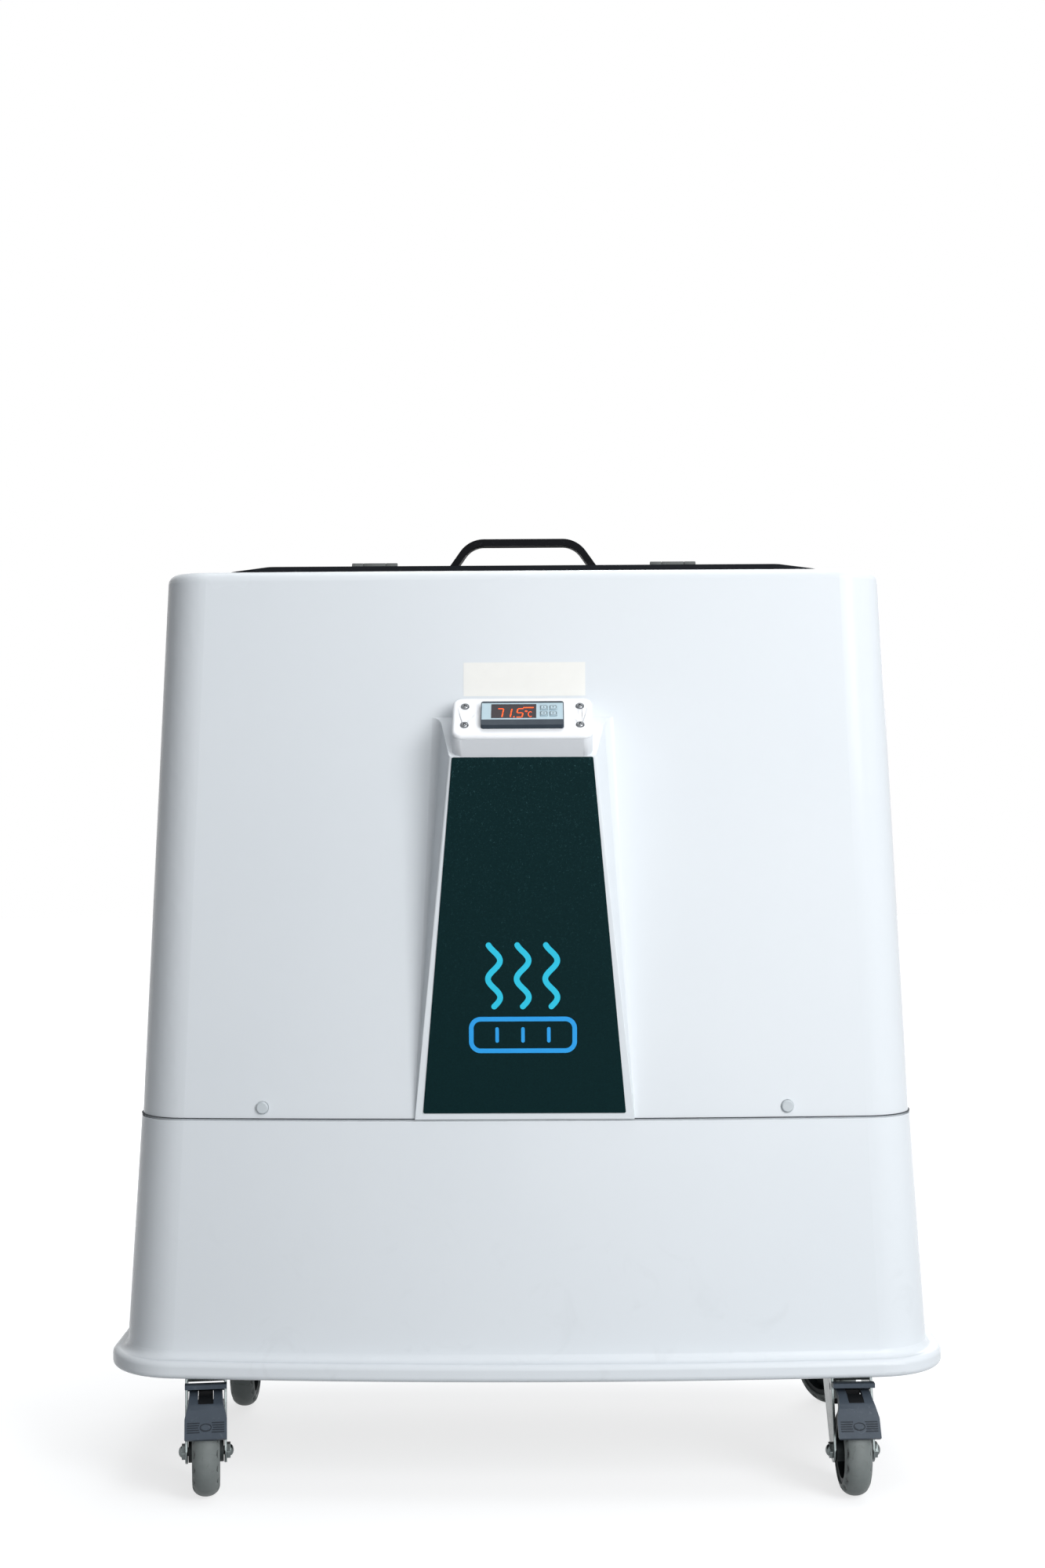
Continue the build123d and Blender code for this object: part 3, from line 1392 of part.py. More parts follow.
# Caster stems: threaded shanks with the top race and the kingpin, held by nuts on the chassis.
race_bottom = chassis_bottom - race_thickness
fork_top = race_bottom - race_gap
crown_bottom = fork_top - fork_crown_thickness
with BuildPart() as caster_stems:
    with BuildSketch(Plane.XY.offset(race_bottom)):
        with Locations(*caster_places.values()):
            Circle(race_diameter / 2)
    extrude(amount=race_thickness)
    with BuildSketch(Plane.XY.offset(race_bottom)):
        with Locations(*caster_places.values()):
            Circle(stem_shank_diameter / 2)
    extrude(amount=race_thickness + stem_shank_length)
    with BuildSketch(Plane.XY.offset(race_bottom)):
        with Locations(*caster_places.values()):
            Circle(kingpin_diameter / 2)
    extrude(amount=crown_bottom - race_gap - race_bottom)
    with BuildSketch(Plane.XY.offset(crown_bottom - race_gap)):
        with Locations(*caster_places.values()):
            Circle(kingpin_head / 2)
    extrude(amount=-kingpin_head_height)
    with BuildSketch(Plane.XY.offset(chassis_top)):
        with Locations(*caster_places.values()):
            RegularPolygon(stem_nut_flats / 2, 6, major_radius=False)
            Circle(stem_shank_diameter / 2 + running_gap, mode=Mode.SUBTRACT)
    extrude(amount=stem_nut_height)
caster_stems.part.label = "caster_stems"
export_step(caster_stems.part, "parts/caster_stems.step")

# Each caster is drawn about its own stem, wheel to the front, and then turned into place.
wheel_radius = wheel_diameter / 2
axle_line = Axis((0, -trail, wheel_radius), (1, 0, 0))
leg_outer = fork_gap / 2 + fork_sheet
wheel_side = Plane(origin=(0, -trail, wheel_radius), x_dir=(1, 0, 0), z_dir=(0, 0, 1))

# Fork: a pressed crown with two legs that reach forward and down to the axle.
with BuildPart() as fork_form:
    for leg_x in (-fork_gap / 2 - fork_sheet, fork_gap / 2):
        with BuildSketch(Plane.YZ.offset(leg_x)):
            with Locations((-trail, wheel_radius)):
                Circle(fork_foot_radius)
            with Locations((0, fork_top - fork_leg_depth / 2)):
                Rectangle(fork_crown_length, fork_leg_depth)
            make_hull()
            with Locations((-trail, wheel_radius)):
                Circle(axle_diameter / 2 + running_gap, mode=Mode.SUBTRACT)
            with Locations(pedal_pivot):
                Circle(pedal_trunnion / 2 + running_gap, mode=Mode.SUBTRACT)
        extrude(amount=fork_sheet)
    with BuildSketch(Plane.XY.offset(crown_bottom)):
        Rectangle(2 * leg_outer, fork_crown_length)
        Circle(kingpin_diameter / 2 + running_gap, mode=Mode.SUBTRACT)
    extrude(amount=fork_crown_thickness)

# Axle: a bolt with a hexagon at each end, clamped across the fork's legs.
with BuildPart() as axle_form:
    with BuildSketch(Plane.YZ.offset(-leg_outer)):
        with Locations((-trail, wheel_radius)):
            Circle(axle_diameter / 2)
    extrude(amount=2 * leg_outer)
    for nut_x in (-leg_outer - axle_nut_height, leg_outer):
        with BuildSketch(Plane.YZ.offset(nut_x)):
            with Locations((-trail, wheel_radius)):
                RegularPolygon(axle_nut_flats / 2, 6, major_radius=False)
        extrude(amount=axle_nut_height)

# Wheel core: hub, web and rim in one moulding, with ribs on the web.
tyre_inner = wheel_radius - tyre_depth
rim_inner = tyre_inner - rim_depth
with BuildPart() as wheel_form:
    with BuildSketch(wheel_side):
        with Locations((0, (hub_diameter / 2 + axle_diameter / 2 + running_gap) / 2)):
            Rectangle(hub_width, hub_diameter / 2 - axle_diameter / 2 - running_gap)
        with Locations((0, (hub_diameter / 2 + rim_inner) / 2)):
            Rectangle(web_thickness, rim_inner - hub_diameter / 2)
        with Locations((0, tyre_inner - rim_depth / 2)):
            Rectangle(rim_width, rim_depth)
    revolve(axis=axle_line)

# Tyre: a ring on the rim with its shoulders taken off.
with BuildPart() as tyre_form:
    with BuildSketch(wheel_side) as tyre_section:
        with Locations((0, (wheel_radius + tyre_inner) / 2)):
            Rectangle(tread_width, tyre_depth)
        chamfer(tyre_section.vertices().group_by(Axis.Y)[-1], tyre_shoulder)
    revolve(axis=axle_line)

# Brake pedal: a foot lever on trunnions between the legs, pressed down at rest.
# Two arms carry a tread that flares towards its round cornered tip, and a release bar above them.
pedal_fall = pedal_elbow[1] - pedal_tip[1]
pedal_front_height = pedal_pivot[1] + pedal_trunnion
release_bar = (pedal_shoulder[0] + pedal_thickness, pedal_pivot[1] + release_bar_rise)
with BuildPart() as pedal_form:
    with BuildSketch(Plane.YZ):
        with BuildLine():
            FilletPolyline(pedal_pivot, pedal_shoulder, pedal_elbow, pedal_tip, radius=pedal_bend)
        trace(line_width=pedal_thickness)
        with BuildLine():
            Line(pedal_pivot, release_bar)
        trace(line_width=pedal_thickness)
    extrude(amount=pedal_width / 2, both=True)
    with BuildSketch(Plane.XZ) as pedal_front:
        with BuildLine():
            Polyline(
                (-pedal_root_width / 2, pedal_front_height),
                (-pedal_root_width / 2, pedal_shoulder[1]),
                (-pedal_width / 2, pedal_tip[1] + pedal_fall * pedal_waist),
                (-pedal_width / 2, pedal_tip[1] - pedal_thickness),
                (pedal_width / 2, pedal_tip[1] - pedal_thickness),
                (pedal_width / 2, pedal_tip[1] + pedal_fall * pedal_waist),
                (pedal_root_width / 2, pedal_shoulder[1]),
                (pedal_root_width / 2, pedal_front_height),
                close=True,
            )
        make_face()
        fillet(pedal_front.vertices().group_by(Axis.Z)[0], pedal_corner)
        with Locations((0, pedal_front_height)):
            Rectangle(pedal_notch_width, 2 * pedal_notch_depth, mode=Mode.SUBTRACT)
    extrude(amount=-2 * pedal_tip[0], both=True, mode=Mode.INTERSECT)
    with BuildSketch(Plane.YZ):
        with Locations(pedal_pivot):
            Circle(pedal_trunnion / 2)
    extrude(amount=leg_outer, both=True)
    with BuildSketch(Plane.YZ):
        with Locations(release_bar):
            Rectangle(release_bar_depth, release_bar_thickness)
    extrude(amount=pedal_width / 2, both=True)

caster_forms = {
    "fork": fork_form,
    "axle": axle_form,
    "wheel": wheel_form,
    "tyre": tyre_form,
    "brake_pedal": pedal_form,
}
for corner, place in caster_places.items():
    for piece, form in caster_forms.items():
        if piece == "brake_pedal" and "rear" in corner:
            continue
        with BuildPart() as placed:
            with Locations(Location((*place, 0), (0, 0, caster_turns[corner]))):
                add(form.part)
        placed.part.label = f"{corner}_{piece}"
        export_step(placed.part, f"parts/{corner}_{piece}.step")
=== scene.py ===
import bmesh
import bpy
import json
from math import cos, pi, radians, sin, sqrt
from mathutils import Matrix, Vector
from mathutils.bvhtree import BVHTree


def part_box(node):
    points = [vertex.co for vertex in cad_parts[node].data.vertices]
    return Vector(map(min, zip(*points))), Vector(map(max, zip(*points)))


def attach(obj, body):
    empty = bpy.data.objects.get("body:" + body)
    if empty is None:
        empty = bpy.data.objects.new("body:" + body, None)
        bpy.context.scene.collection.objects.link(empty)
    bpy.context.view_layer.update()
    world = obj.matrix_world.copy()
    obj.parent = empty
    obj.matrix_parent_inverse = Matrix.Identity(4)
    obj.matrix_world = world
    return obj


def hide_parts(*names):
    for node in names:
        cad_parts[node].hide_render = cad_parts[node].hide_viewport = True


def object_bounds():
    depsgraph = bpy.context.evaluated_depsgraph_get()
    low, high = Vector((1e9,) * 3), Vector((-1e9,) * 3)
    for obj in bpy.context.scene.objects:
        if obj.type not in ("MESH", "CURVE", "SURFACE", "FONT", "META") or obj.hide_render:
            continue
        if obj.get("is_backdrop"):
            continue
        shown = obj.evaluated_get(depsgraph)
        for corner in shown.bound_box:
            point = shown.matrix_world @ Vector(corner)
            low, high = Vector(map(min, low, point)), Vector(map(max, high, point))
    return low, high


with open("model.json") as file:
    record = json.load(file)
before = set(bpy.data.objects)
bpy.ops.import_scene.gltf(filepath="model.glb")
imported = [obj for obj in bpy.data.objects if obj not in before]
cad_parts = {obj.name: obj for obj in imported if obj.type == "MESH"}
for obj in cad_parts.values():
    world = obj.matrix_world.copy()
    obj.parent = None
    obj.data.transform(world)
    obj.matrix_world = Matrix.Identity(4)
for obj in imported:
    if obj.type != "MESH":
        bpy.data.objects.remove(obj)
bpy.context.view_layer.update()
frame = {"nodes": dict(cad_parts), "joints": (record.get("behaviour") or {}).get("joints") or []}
nodes = frame["nodes"]


# Moulded shells and the lip round the foot.
# Glass fibre laminate with a white gelcoat, pulled from polished moulds and trimmed at the seam.
# Handling leaves faint scuffs, most of them low down where the lip meets door frames.
def noise(tree, coords, detail=3.0, distortion=0.0):
    """Noise over the given coordinates, one unit to a patch."""
    made = tree.nodes.new("ShaderNodeTexNoise")
    made.inputs["Scale"].default_value = 1.0
    made.inputs["Detail"].default_value = detail
    made.inputs["Distortion"].default_value = distortion
    tree.links.new(coords, made.inputs["Vector"])
    return made.outputs["Fac"]


def divided(tree, coords, *sizes):
    """Coordinates divided by one size in metres, or by one for each axis."""
    join = tree.nodes.new("ShaderNodeCombineXYZ")
    for axis, size in zip("XYZ", sizes if len(sizes) == 3 else sizes * 3):
        tree.links.new(size, join.inputs[axis])
    divide = tree.nodes.new("ShaderNodeVectorMath")
    divide.operation = "DIVIDE"
    tree.links.new(coords, divide.inputs[0])
    tree.links.new(join.outputs["Vector"], divide.inputs[1])
    return divide.outputs["Vector"]


def mixed(tree, mask, low, high):
    """Colour that goes from low to high with the mask."""
    mix = tree.nodes.new("ShaderNodeMix")
    mix.data_type = "RGBA"
    tree.links.new(mask, mix.inputs["Factor"])
    tree.links.new(low, mix.inputs["A"])
    tree.links.new(high, mix.inputs["B"])
    return mix.outputs["Result"]


def ranged(tree, value, low, high, to_low=0.0, to_high=1.0):
    """Value mapped from one range to another; the ends may be numbers or sockets."""
    made = tree.nodes.new("ShaderNodeMapRange")
    tree.links.new(value, made.inputs["Value"])
    for name, end in (("From Min", low), ("From Max", high), ("To Min", to_low), ("To Max", to_high)):
        if isinstance(end, float):
            made.inputs[name].default_value = end
        else:
            tree.links.new(end, made.inputs[name])
    return made.outputs["Result"]


def times(tree, one, other):
    """Product of two values."""
    made = tree.nodes.new("ShaderNodeMath")
    made.operation = "MULTIPLY"
    tree.links.new(one, made.inputs[0])
    tree.links.new(other, made.inputs[1])
    return made.outputs["Value"]


def new_group(name, inputs, outputs):
    """Shader node group with named sockets; returns the tree and its two end nodes."""
    tree = bpy.data.node_groups.new(name, "ShaderNodeTree")
    kinds = {"f": "NodeSocketFloat", "c": "NodeSocketColor", "v": "NodeSocketVector"}
    for in_out, sockets in (("INPUT", inputs), ("OUTPUT", outputs)):
        for label, kind in sockets:
            tree.interface.new_socket(name=label, in_out=in_out, socket_type=kinds[kind])
    return tree, tree.nodes.new("NodeGroupInput").outputs, tree.nodes.new("NodeGroupOutput").inputs


surface_variation, given, result = new_group(
    "surface_variation",
    (("Colour", "c"), ("Shade", "c"), ("Patch Size", "f"), ("Rough Low", "f"), ("Rough High", "f"),
     ("Grain Size", "f"), ("Grain Depth", "f"), ("Wear Colour", "c"), ("Wear Size", "f"),
     ("Wear Amount", "f"), ("Wear Low", "f"), ("Wear High", "f")),
    (("Colour", "c"), ("Roughness", "f"), ("Normal", "v")),
)
tree = surface_variation
place = tree.nodes.new("ShaderNodeTexCoord").outputs["Object"]
height = tree.nodes.new("ShaderNodeSeparateXYZ")
tree.links.new(place, height.inputs["Vector"])
patches = noise(tree, divided(tree, place, given["Patch Size"]), detail=4.0)
rubbing = noise(tree, divided(tree, place, given["Wear Size"]), detail=8.0, distortion=1.5)
rubs = ranged(tree, rubbing, low=0.60, high=0.74)
low_rubs = times(tree, rubs, ranged(tree, height.outputs["Z"], given["Wear High"], given["Wear Low"]))
wear = times(tree, low_rubs, given["Wear Amount"])
unworn = mixed(tree, patches, given["Colour"], given["Shade"])
tree.links.new(mixed(tree, wear, unworn, given["Wear Colour"]), result["Colour"])
roughness = ranged(tree, patches, low=0.0, high=1.0, to_low=given["Rough Low"], to_high=given["Rough High"])
tree.links.new(roughness, result["Roughness"])
grain = tree.nodes.new("ShaderNodeBump")
tree.links.new(given["Grain Depth"], grain.inputs["Distance"])
tree.links.new(noise(tree, divided(tree, place, given["Grain Size"]), detail=2.0), grain.inputs["Height"])
tree.links.new(grain.outputs["Normal"], result["Normal"])


def linear(colour):
    """Linear values of a colour given in 0 to 255 display values."""
    channels = [c / 255 / 12.92 if c <= 10 else ((c / 255 + 0.055) / 1.055) ** 2.4 for c in colour]
    return (*channels, 1.0)


def finish(name, group, colour, shade, metallic=0.0, coat=0.0, glow=0.0, gloss=0.5, **values):
    """Material whose colour, roughness and normal come from a node group."""
    material = bpy.data.materials.new(name)
    material.use_nodes = True
    tree = material.node_tree
    shader = tree.nodes["Principled BSDF"]
    made = tree.nodes.new("ShaderNodeGroup")
    made.node_tree = group
    made.inputs["Colour"].default_value = linear(colour)
    made.inputs["Shade"].default_value = linear(shade)
    for label, value in values.items():
        value = linear(value) if isinstance(value, tuple) else value
        made.inputs[label.replace("_", " ").title()].default_value = value
    tree.links.new(made.outputs["Colour"], shader.inputs["Base Color"])
    tree.links.new(made.outputs["Roughness"], shader.inputs["Roughness"])
    tree.links.new(made.outputs["Normal"], shader.inputs["Normal"])
    shader.inputs["Metallic"].default_value = metallic
    shader.inputs["Specular IOR Level"].default_value = gloss
    shader.inputs["Coat Weight"].default_value = coat
    shader.inputs["Coat Roughness"].default_value = 0.06
    if glow:
        tree.links.new(made.outputs["Colour"], shader.inputs["Emission Color"])
        shader.inputs["Emission Strength"].default_value = glow
    return material


def moulded(
    name, colour, shade, patch, rough, grain_size, grain_depth,
    wear=0.0, wear_colour=(70, 72, 74), **others,
):
    """Finish of a moulded, painted or printed face."""
    values = {"wear_size": 0.02, "wear_low": 0.0, "wear_high": 2.0} | others
    return finish(
        name, surface_variation, colour, shade, patch_size=patch, rough_low=rough[0], rough_high=rough[1],
        grain_size=grain_size, grain_depth=grain_depth, wear_amount=wear, wear_colour=wear_colour, **values,
    )


def dress(material, *names):
    """Gives CAD nodes their finish."""
    for name in names:
        nodes[name].data.materials.clear()
        nodes[name].data.materials.append(material)


def ease_edges(*names, width):
    """Rounds the sharp edges of CAD nodes, as a mould or a deburring tool leaves them."""
    for name in names:
        weld = nodes[name].modifiers.new("weld", "WELD")
        weld.merge_threshold = 0.00001
        bevel = nodes[name].modifiers.new("eased_edges", "BEVEL")
        bevel.width = width
        bevel.segments = 2
        bevel.limit_method = "ANGLE"
        bevel.angle_limit = radians(40)
        bevel.harden_normals = True


gelcoat = moulded(
    "gelcoat_white", (224, 229, 233), (218, 224, 229), patch=0.3, rough=(0.22, 0.3),
    grain_size=0.03, grain_depth=0.00008, coat=0.05, gloss=0.18,
    wear=0.12, wear_colour=(176, 180, 182), wear_size=0.05, wear_low=0.10, wear_high=0.34,
)
dress(gelcoat, "upper_shell", "lower_shell")

# Painted shadow in the seam.
# A dark strip laid into the joint between the shells, flush with their walls, that paints the shade
# of the gap.
seam_shade_paint = moulded(
    "painted_seam_shadow", (72, 76, 80), (58, 62, 66), patch=0.01, rough=(0.6, 0.75),
    grain_size=0.001, grain_depth=0.00005, gloss=0.2,
)


def skin_of(name):
    """Search tree of a CAD node's surface."""
    mesh = nodes[name].data
    return BVHTree.FromPolygons([v.co for v in mesh.vertices], [p.vertices for p in mesh.polygons])


def new_piece(name, points, faces, material, body, shade_smooth=False, closed=True):
    """Mesh piece that rides on a CAD body; a closed one gets all its faces turned outwards."""
    mesh = bpy.data.meshes.new(name)
    mesh.from_pydata(points, [], faces)
    if closed:
        form = bmesh.new()
        form.from_mesh(mesh)
        bmesh.ops.recalc_face_normals(form, faces=form.faces)
        form.to_mesh(mesh)
        form.free()
    mesh.materials.append(material)
    mesh.polygons.foreach_set("use_smooth", [shade_smooth] * len(mesh.polygons))
    piece = bpy.data.objects.new(name, mesh)
    bpy.context.scene.collection.objects.link(piece)
    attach(piece, body)
    return piece


seam_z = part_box("upper_shell")[0].z
seam_skin = skin_of("lower_shell")
seam_steps, strip_half, strip_proud, strip_deep = 480, 0.0004, 0.0002, 0.0015
outside_reach, depth_share, below_seam = 0.9, 0.6, 0.002
strip_section = (
    (-strip_proud, -strip_half), (-strip_proud, strip_half), (strip_deep, strip_half), (strip_deep, -strip_half))
strip_points = []
for i in range(seam_steps):
    turn = 2 * pi * i / seam_steps
    inward = -Vector((cos(turn), depth_share * sin(turn), 0)).normalized()
    start = -inward * outside_reach + Vector((0, 0, seam_z - below_seam))
    hit = seam_skin.ray_cast(start, inward)[0]
    for depth, level in strip_section:
        wall = hit + inward * depth
        strip_points.append(Vector((wall.x, wall.y, seam_z + level)))
strip_faces = []
for i in range(seam_steps):
    a, b = 4 * i, 4 * ((i + 1) % seam_steps)
    strip_faces += [(a + k, b + k, b + (k + 1) % 4, a + (k + 1) % 4) for k in range(4)]
new_piece("seam_shadow_strip", strip_points, strip_faces, seam_shade_paint, "heater")

# Seam screw caps.
# Pale nylon caps that snap over the heads of the four seam screws, two in front and two behind.
cap_nylon = moulded(
    "cap_nylon", (198, 205, 209), (184, 192, 197), patch=0.006, rough=(0.3, 0.42),
    grain_size=0.0012, grain_depth=0.00002,
)
dress(cap_nylon, "seam_screw_caps")
ease_edges("seam_screw_caps", width=0.0006)

# Front panel with its heat sign.
# A dark sheet of printed film, cut to the pylon's face and stuck on; the sign is a plain hot pack
# with three waves of heat over it, printed on the film.
# Its wear values speckle the film lighter towards the top.
panel_film = moulded(
    "panel_film", (2, 26, 28), (11, 40, 43), patch=0.0016, rough=(0.5, 0.6),
    grain_size=0.0007, grain_depth=0.00003, gloss=0.05,
    wear=0.9, wear_colour=(48, 80, 84), wear_size=0.0016, wear_low=0.66, wear_high=0.40,
)
dress(panel_film, "front_panel")
drop_height, sheet_gap, same_place = 0.03, 0.00003, 0.000001


def lay_on(name, shapes, origin, across, up, skin, material, body, thickness):
    """Flat shapes laid on a surface: each corner is dropped on it, and the sheet gets a thickness."""
    out = across.cross(up)
    points, faces, known = [], [], {}
    for shape in shapes:
        turn = sum(a[0] * b[1] - b[0] * a[1] for a, b in zip(shape, shape[1:] + shape[:1]))
        corners = []
        for u, v in shape if turn > 0 else shape[::-1]:
            key = (round(u, 7), round(v, 7))
            if key not in known:
                known[key] = len(points)
                hit = skin.ray_cast(origin + across * u + up * v + out * drop_height, -out)[0]
                points.append(hit + out * sheet_gap)
            corners.append(known[key])
        faces.append(corners)
    piece = new_piece(name, points, faces, material, body, closed=False)
    sheet = piece.modifiers.new("sheet", "SOLIDIFY")
    sheet.thickness = thickness
    sheet.offset = 1.0


def stroke(line, width, round_ends=False):
    """Four-cornered pieces of a band along a line; a line that ends where it starts is closed."""
    line = [Vector(point) for point in line]
    widths = [width] * len(line)
    closed = (line[0] - line[-1]).length < same_place
    if round_ends:
        steps = (0.35, 0.62, 0.82, 0.94, 0.99)  # shares of the half circle at each end
        first, last = (line[0] - line[1]).normalized(), (line[-1] - line[-2]).normalized()
        caps = [width * sqrt(1 - step * step) for step in steps]
        line = (
            [line[0] + first * step * width / 2 for step in steps[::-1]] + line
            + [line[-1] + last * step * width / 2 for step in steps])
        widths = caps[::-1] + widths + caps
    sides = []
    for i, point in enumerate(line):
        before, after = line[max(i - 1, 0)], line[min(i + 1, len(line) - 1)]
        if closed and i in (0, len(line) - 1):
            before, after = line[-2], line[1]
        along = (after - before).normalized()
        side = Vector((-along.y, along.x)) * widths[i] / 2
        sides.append((tuple(point - side), tuple(point + side)))
    if closed:
        sides[-1] = sides[0]
    return [[a[0], b[0], b[1], a[1]] for a, b in zip(sides, sides[1:])]


def disc(centre, radius, count=24, squash=1.0):
    """Round or oval face."""
    turns = [2 * pi * i / count for i in range(count)]
    return [(centre[0] + radius * cos(t), centre[1] + radius * squash * sin(t)) for t in turns]


def ring(centre, radius, count=24, squash=1.0):
    """Closed line round an oval."""
    line = disc(centre, radius, count, squash)
    return line + line[:1]


def round_frame(half_width, half_height, corner, count=8):
    """Closed line round a rectangle with round corners."""
    line = []
    for k, (sx, sy) in enumerate(((1, 1), (-1, 1), (-1, -1), (1, -1))):
        for i in range(count + 1):
            turn = pi / 2 * (k + i / count)
            line.append((
                sx * (half_width - corner) + corner * cos(turn),
                sy * (half_height - corner) + corner * sin(turn)))
    return line + line[:1]


rightward, upward = Vector((1, 0, 0)), Vector((0, 0, 1))
panel_low, panel_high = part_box("front_panel")
sign_shift, sign_height, ink_thickness = -0.001, 0.106, 0.00008
sign_centre = Vector(((panel_low.x + panel_high.x) / 2 + sign_shift, panel_low.y, panel_low.z + sign_height))
wave_ink = moulded(
    "sign_ink_light", (0, 196, 226), (0, 186, 220), patch=0.02, rough=(0.4, 0.5),
    grain_size=0.0007, grain_depth=0.00001,
)
pack_ink = moulded(
    "sign_ink_blue", (0, 158, 232), (0, 148, 224), patch=0.02, rough=(0.4, 0.5),
    grain_size=0.0007, grain_depth=0.00001,
)
panel_skin = skin_of("front_panel")
wave_places, wave_sway, wave_width = (-0.026, 0.0, 0.026), 0.0055, 0.0052
wave_foot, wave_rise, wave_steps, bend_steps = -0.008, 0.056, 40, 24
waves = []
for wave_x in wave_places:
    line = [
        (wave_x + wave_sway * sin(2 * pi * step / bend_steps), wave_foot + wave_rise * step / wave_steps)
        for step in range(wave_steps + 1)]
    waves += stroke(line, wave_width, round_ends=True)
lay_on(
    "sign_heat_waves", waves, sign_centre, rightward, upward, panel_skin,
    wave_ink, "heater", ink_thickness)
pack_half_width, pack_half_height, pack_corner = 0.047, 0.0145, 0.0085
pack_drop, pack_line_width = 0.034, 0.0042
quilt_places, quilt_top, quilt_foot, quilt_width = (-0.0235, 0.0, 0.0235), -0.0285, -0.0395, 0.0032
pack_line = [(x, z - pack_drop) for x, z in round_frame(pack_half_width, pack_half_height, pack_corner)]
pack_shape = stroke(pack_line, pack_line_width)
for quilt_x in quilt_places:
    pack_shape += stroke([(quilt_x, quilt_top), (quilt_x, quilt_foot)], quilt_width, round_ends=True)
lay_on(
    "sign_hot_pack", pack_shape, sign_centre, rightward, upward, panel_skin,
    pack_ink, "heater", ink_thickness)

# Blank label above the control box.
# Cream paper label under a clear laminate, stuck on the shell by hand and left bare.
label_paper = moulded(
    "label_paper", (238, 238, 234), (233, 233, 229), patch=0.01, rough=(0.3, 0.4),
    grain_size=0.0004, grain_depth=0.00001, gloss=0.3,
)
label_left, label_right, label_foot, label_top = -0.0545, 0.0577, 0.7300, 0.7610
label_plane, label_thickness = Vector((0, -0.30, 0)), 0.00015
columns, rows = 28, 8
label_tiles = []
for i in range(columns):
    for k in range(rows):
        tile = ((i, k), (i + 1, k), (i + 1, k + 1), (i, k + 1))
        label_tiles.append([
            (label_left + (label_right - label_left) * a / columns,
             label_foot + (label_top - label_foot) * b / rows) for a, b in tile])
lay_on(
    "blank_label", label_tiles, label_plane, rightward, upward, skin_of("upper_shell"),
    label_paper, "heater", label_thickness)

# Control box: case, cover and the panel thermostat.
# White moulded case with a sloping cover; the thermostat's housing is pushed through the cover and
# has a printed film fascia, a tinted lens over its digits, and four rubber keys.
case_plastic = moulded(
    "case_plastic", (232, 235, 239), (226, 230, 234), patch=0.05, rough=(0.3, 0.38),
    grain_size=0.0012, grain_depth=0.00003, gloss=0.35,
    wear=0.1, wear_colour=(186, 192, 198), wear_size=0.008,
)
dress(case_plastic, "controller_case")
# The cover's white is a little brighter than the case's; the difference is painted light on the sloping
# face.
cover_plastic_painted_lit = moulded(
    "cover_plastic_painted_lit", (242, 244, 247), (236, 239, 243), patch=0.04, rough=(0.3, 0.38),
    grain_size=0.0012, grain_depth=0.00003, gloss=0.35,
    wear=0.1, wear_colour=(200, 205, 210), wear_size=0.006,
)
dress(cover_plastic_painted_lit, "controller_cover")
ease_edges("controller_case", "controller_cover", width=0.0007)
bezel_plastic = moulded(
    "bezel_plastic", (56, 66, 76), (46, 55, 65), patch=0.01, rough=(0.4, 0.5),
    grain_size=0.0008, grain_depth=0.00003, gloss=0.15,
)
dress(bezel_plastic, "thermostat_housing")
ease_edges("thermostat_housing", width=0.0004)
fascia_film = moulded(
    "fascia_film", (172, 195, 205), (164, 188, 199), patch=0.012, rough=(0.4, 0.48),
    grain_size=0.0005, grain_depth=0.00001,
)
dress(fascia_film, "thermostat_fascia")
key_rubber = moulded(
    "key_rubber", (178, 200, 210), (168, 192, 203), patch=0.004, rough=(0.45, 0.55),
    grain_size=0.0005, grain_depth=0.00001,
)
dress(key_rubber, "button_up", "button_set", "button_down", "button_power")
ease_edges("button_up", "button_set", "button_down", "button_power", width=0.0003)
window_lens = moulded(
    "window_lens", (40, 30, 37), (33, 25, 32), patch=0.02, rough=(0.12, 0.18),
    grain_size=0.004, grain_depth=0.000004, gloss=0.12,
)
dress(window_lens, "display_window")
cover_slope = radians(40)
slope_out = Vector((0, -sin(cover_slope), cos(cover_slope)))
slope_up = Vector((0, cos(cover_slope), sin(cover_slope)))


def centre_of(name):
    """Middle of a CAD node's box."""
    low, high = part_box(name)
    return (low + high) / 2


# Digits, indicator and key marks.
# Glowing segments behind the lens, and dark marks printed on the keys. A dark ring just inside each
# key's edge is painted shade of the gap round the key.
digit_glow = moulded(
    "digit_glow", (255, 96, 36), (255, 82, 28), patch=0.01, rough=(0.4, 0.5),
    grain_size=0.001, grain_depth=0.0, gloss=0.1, glow=0.9,
)
ink_and_gap_shade = moulded(
    "key_ink_and_gap_shade", (18, 23, 28), (12, 16, 21), patch=0.004, rough=(0.5, 0.6),
    grain_size=0.0005, grain_depth=0.0,
)
segment_places = {
    "a": ((0, 1), (1, 1)), "b": ((1, 1), (1, 0.5)), "c": ((1, 0.5), (1, 0)), "d": ((0, 0), (1, 0)),
    "e": ((0, 0.5), (0, 0)), "f": ((0, 1), (0, 0.5)), "g": ((0, 0.5), (1, 0.5)),
}
digit_segments = {"7": "abc", "1": "bc", "5": "afgcd"}
digit_places, digit_foot = {"7": -0.0160, "1": -0.0085, "5": 0.0022}, -0.0092
digit_width, digit_height, digit_lean = 0.0054, 0.0124, 0.12
segment_width, gap_share = 0.0011, 0.12
print_thickness = 0.00004


def segment(start, end, width):
    """Bar with pointed ends, a little short of both."""
    start, end = Vector(start), Vector(end)
    along = (end - start).normalized()
    side = Vector((-along.y, along.x)) * width / 2
    start, end = start + along * width * gap_share, end - along * width * gap_share
    tip = along * width / 2
    return [start, start + tip - side, end - tip - side, end, end - tip + side, start + tip + side]


def leaning(shape, base):
    """Shape moved to its base and slanted."""
    return [(base[0] + x + y * digit_lean, base[1] + y) for x, y in shape]


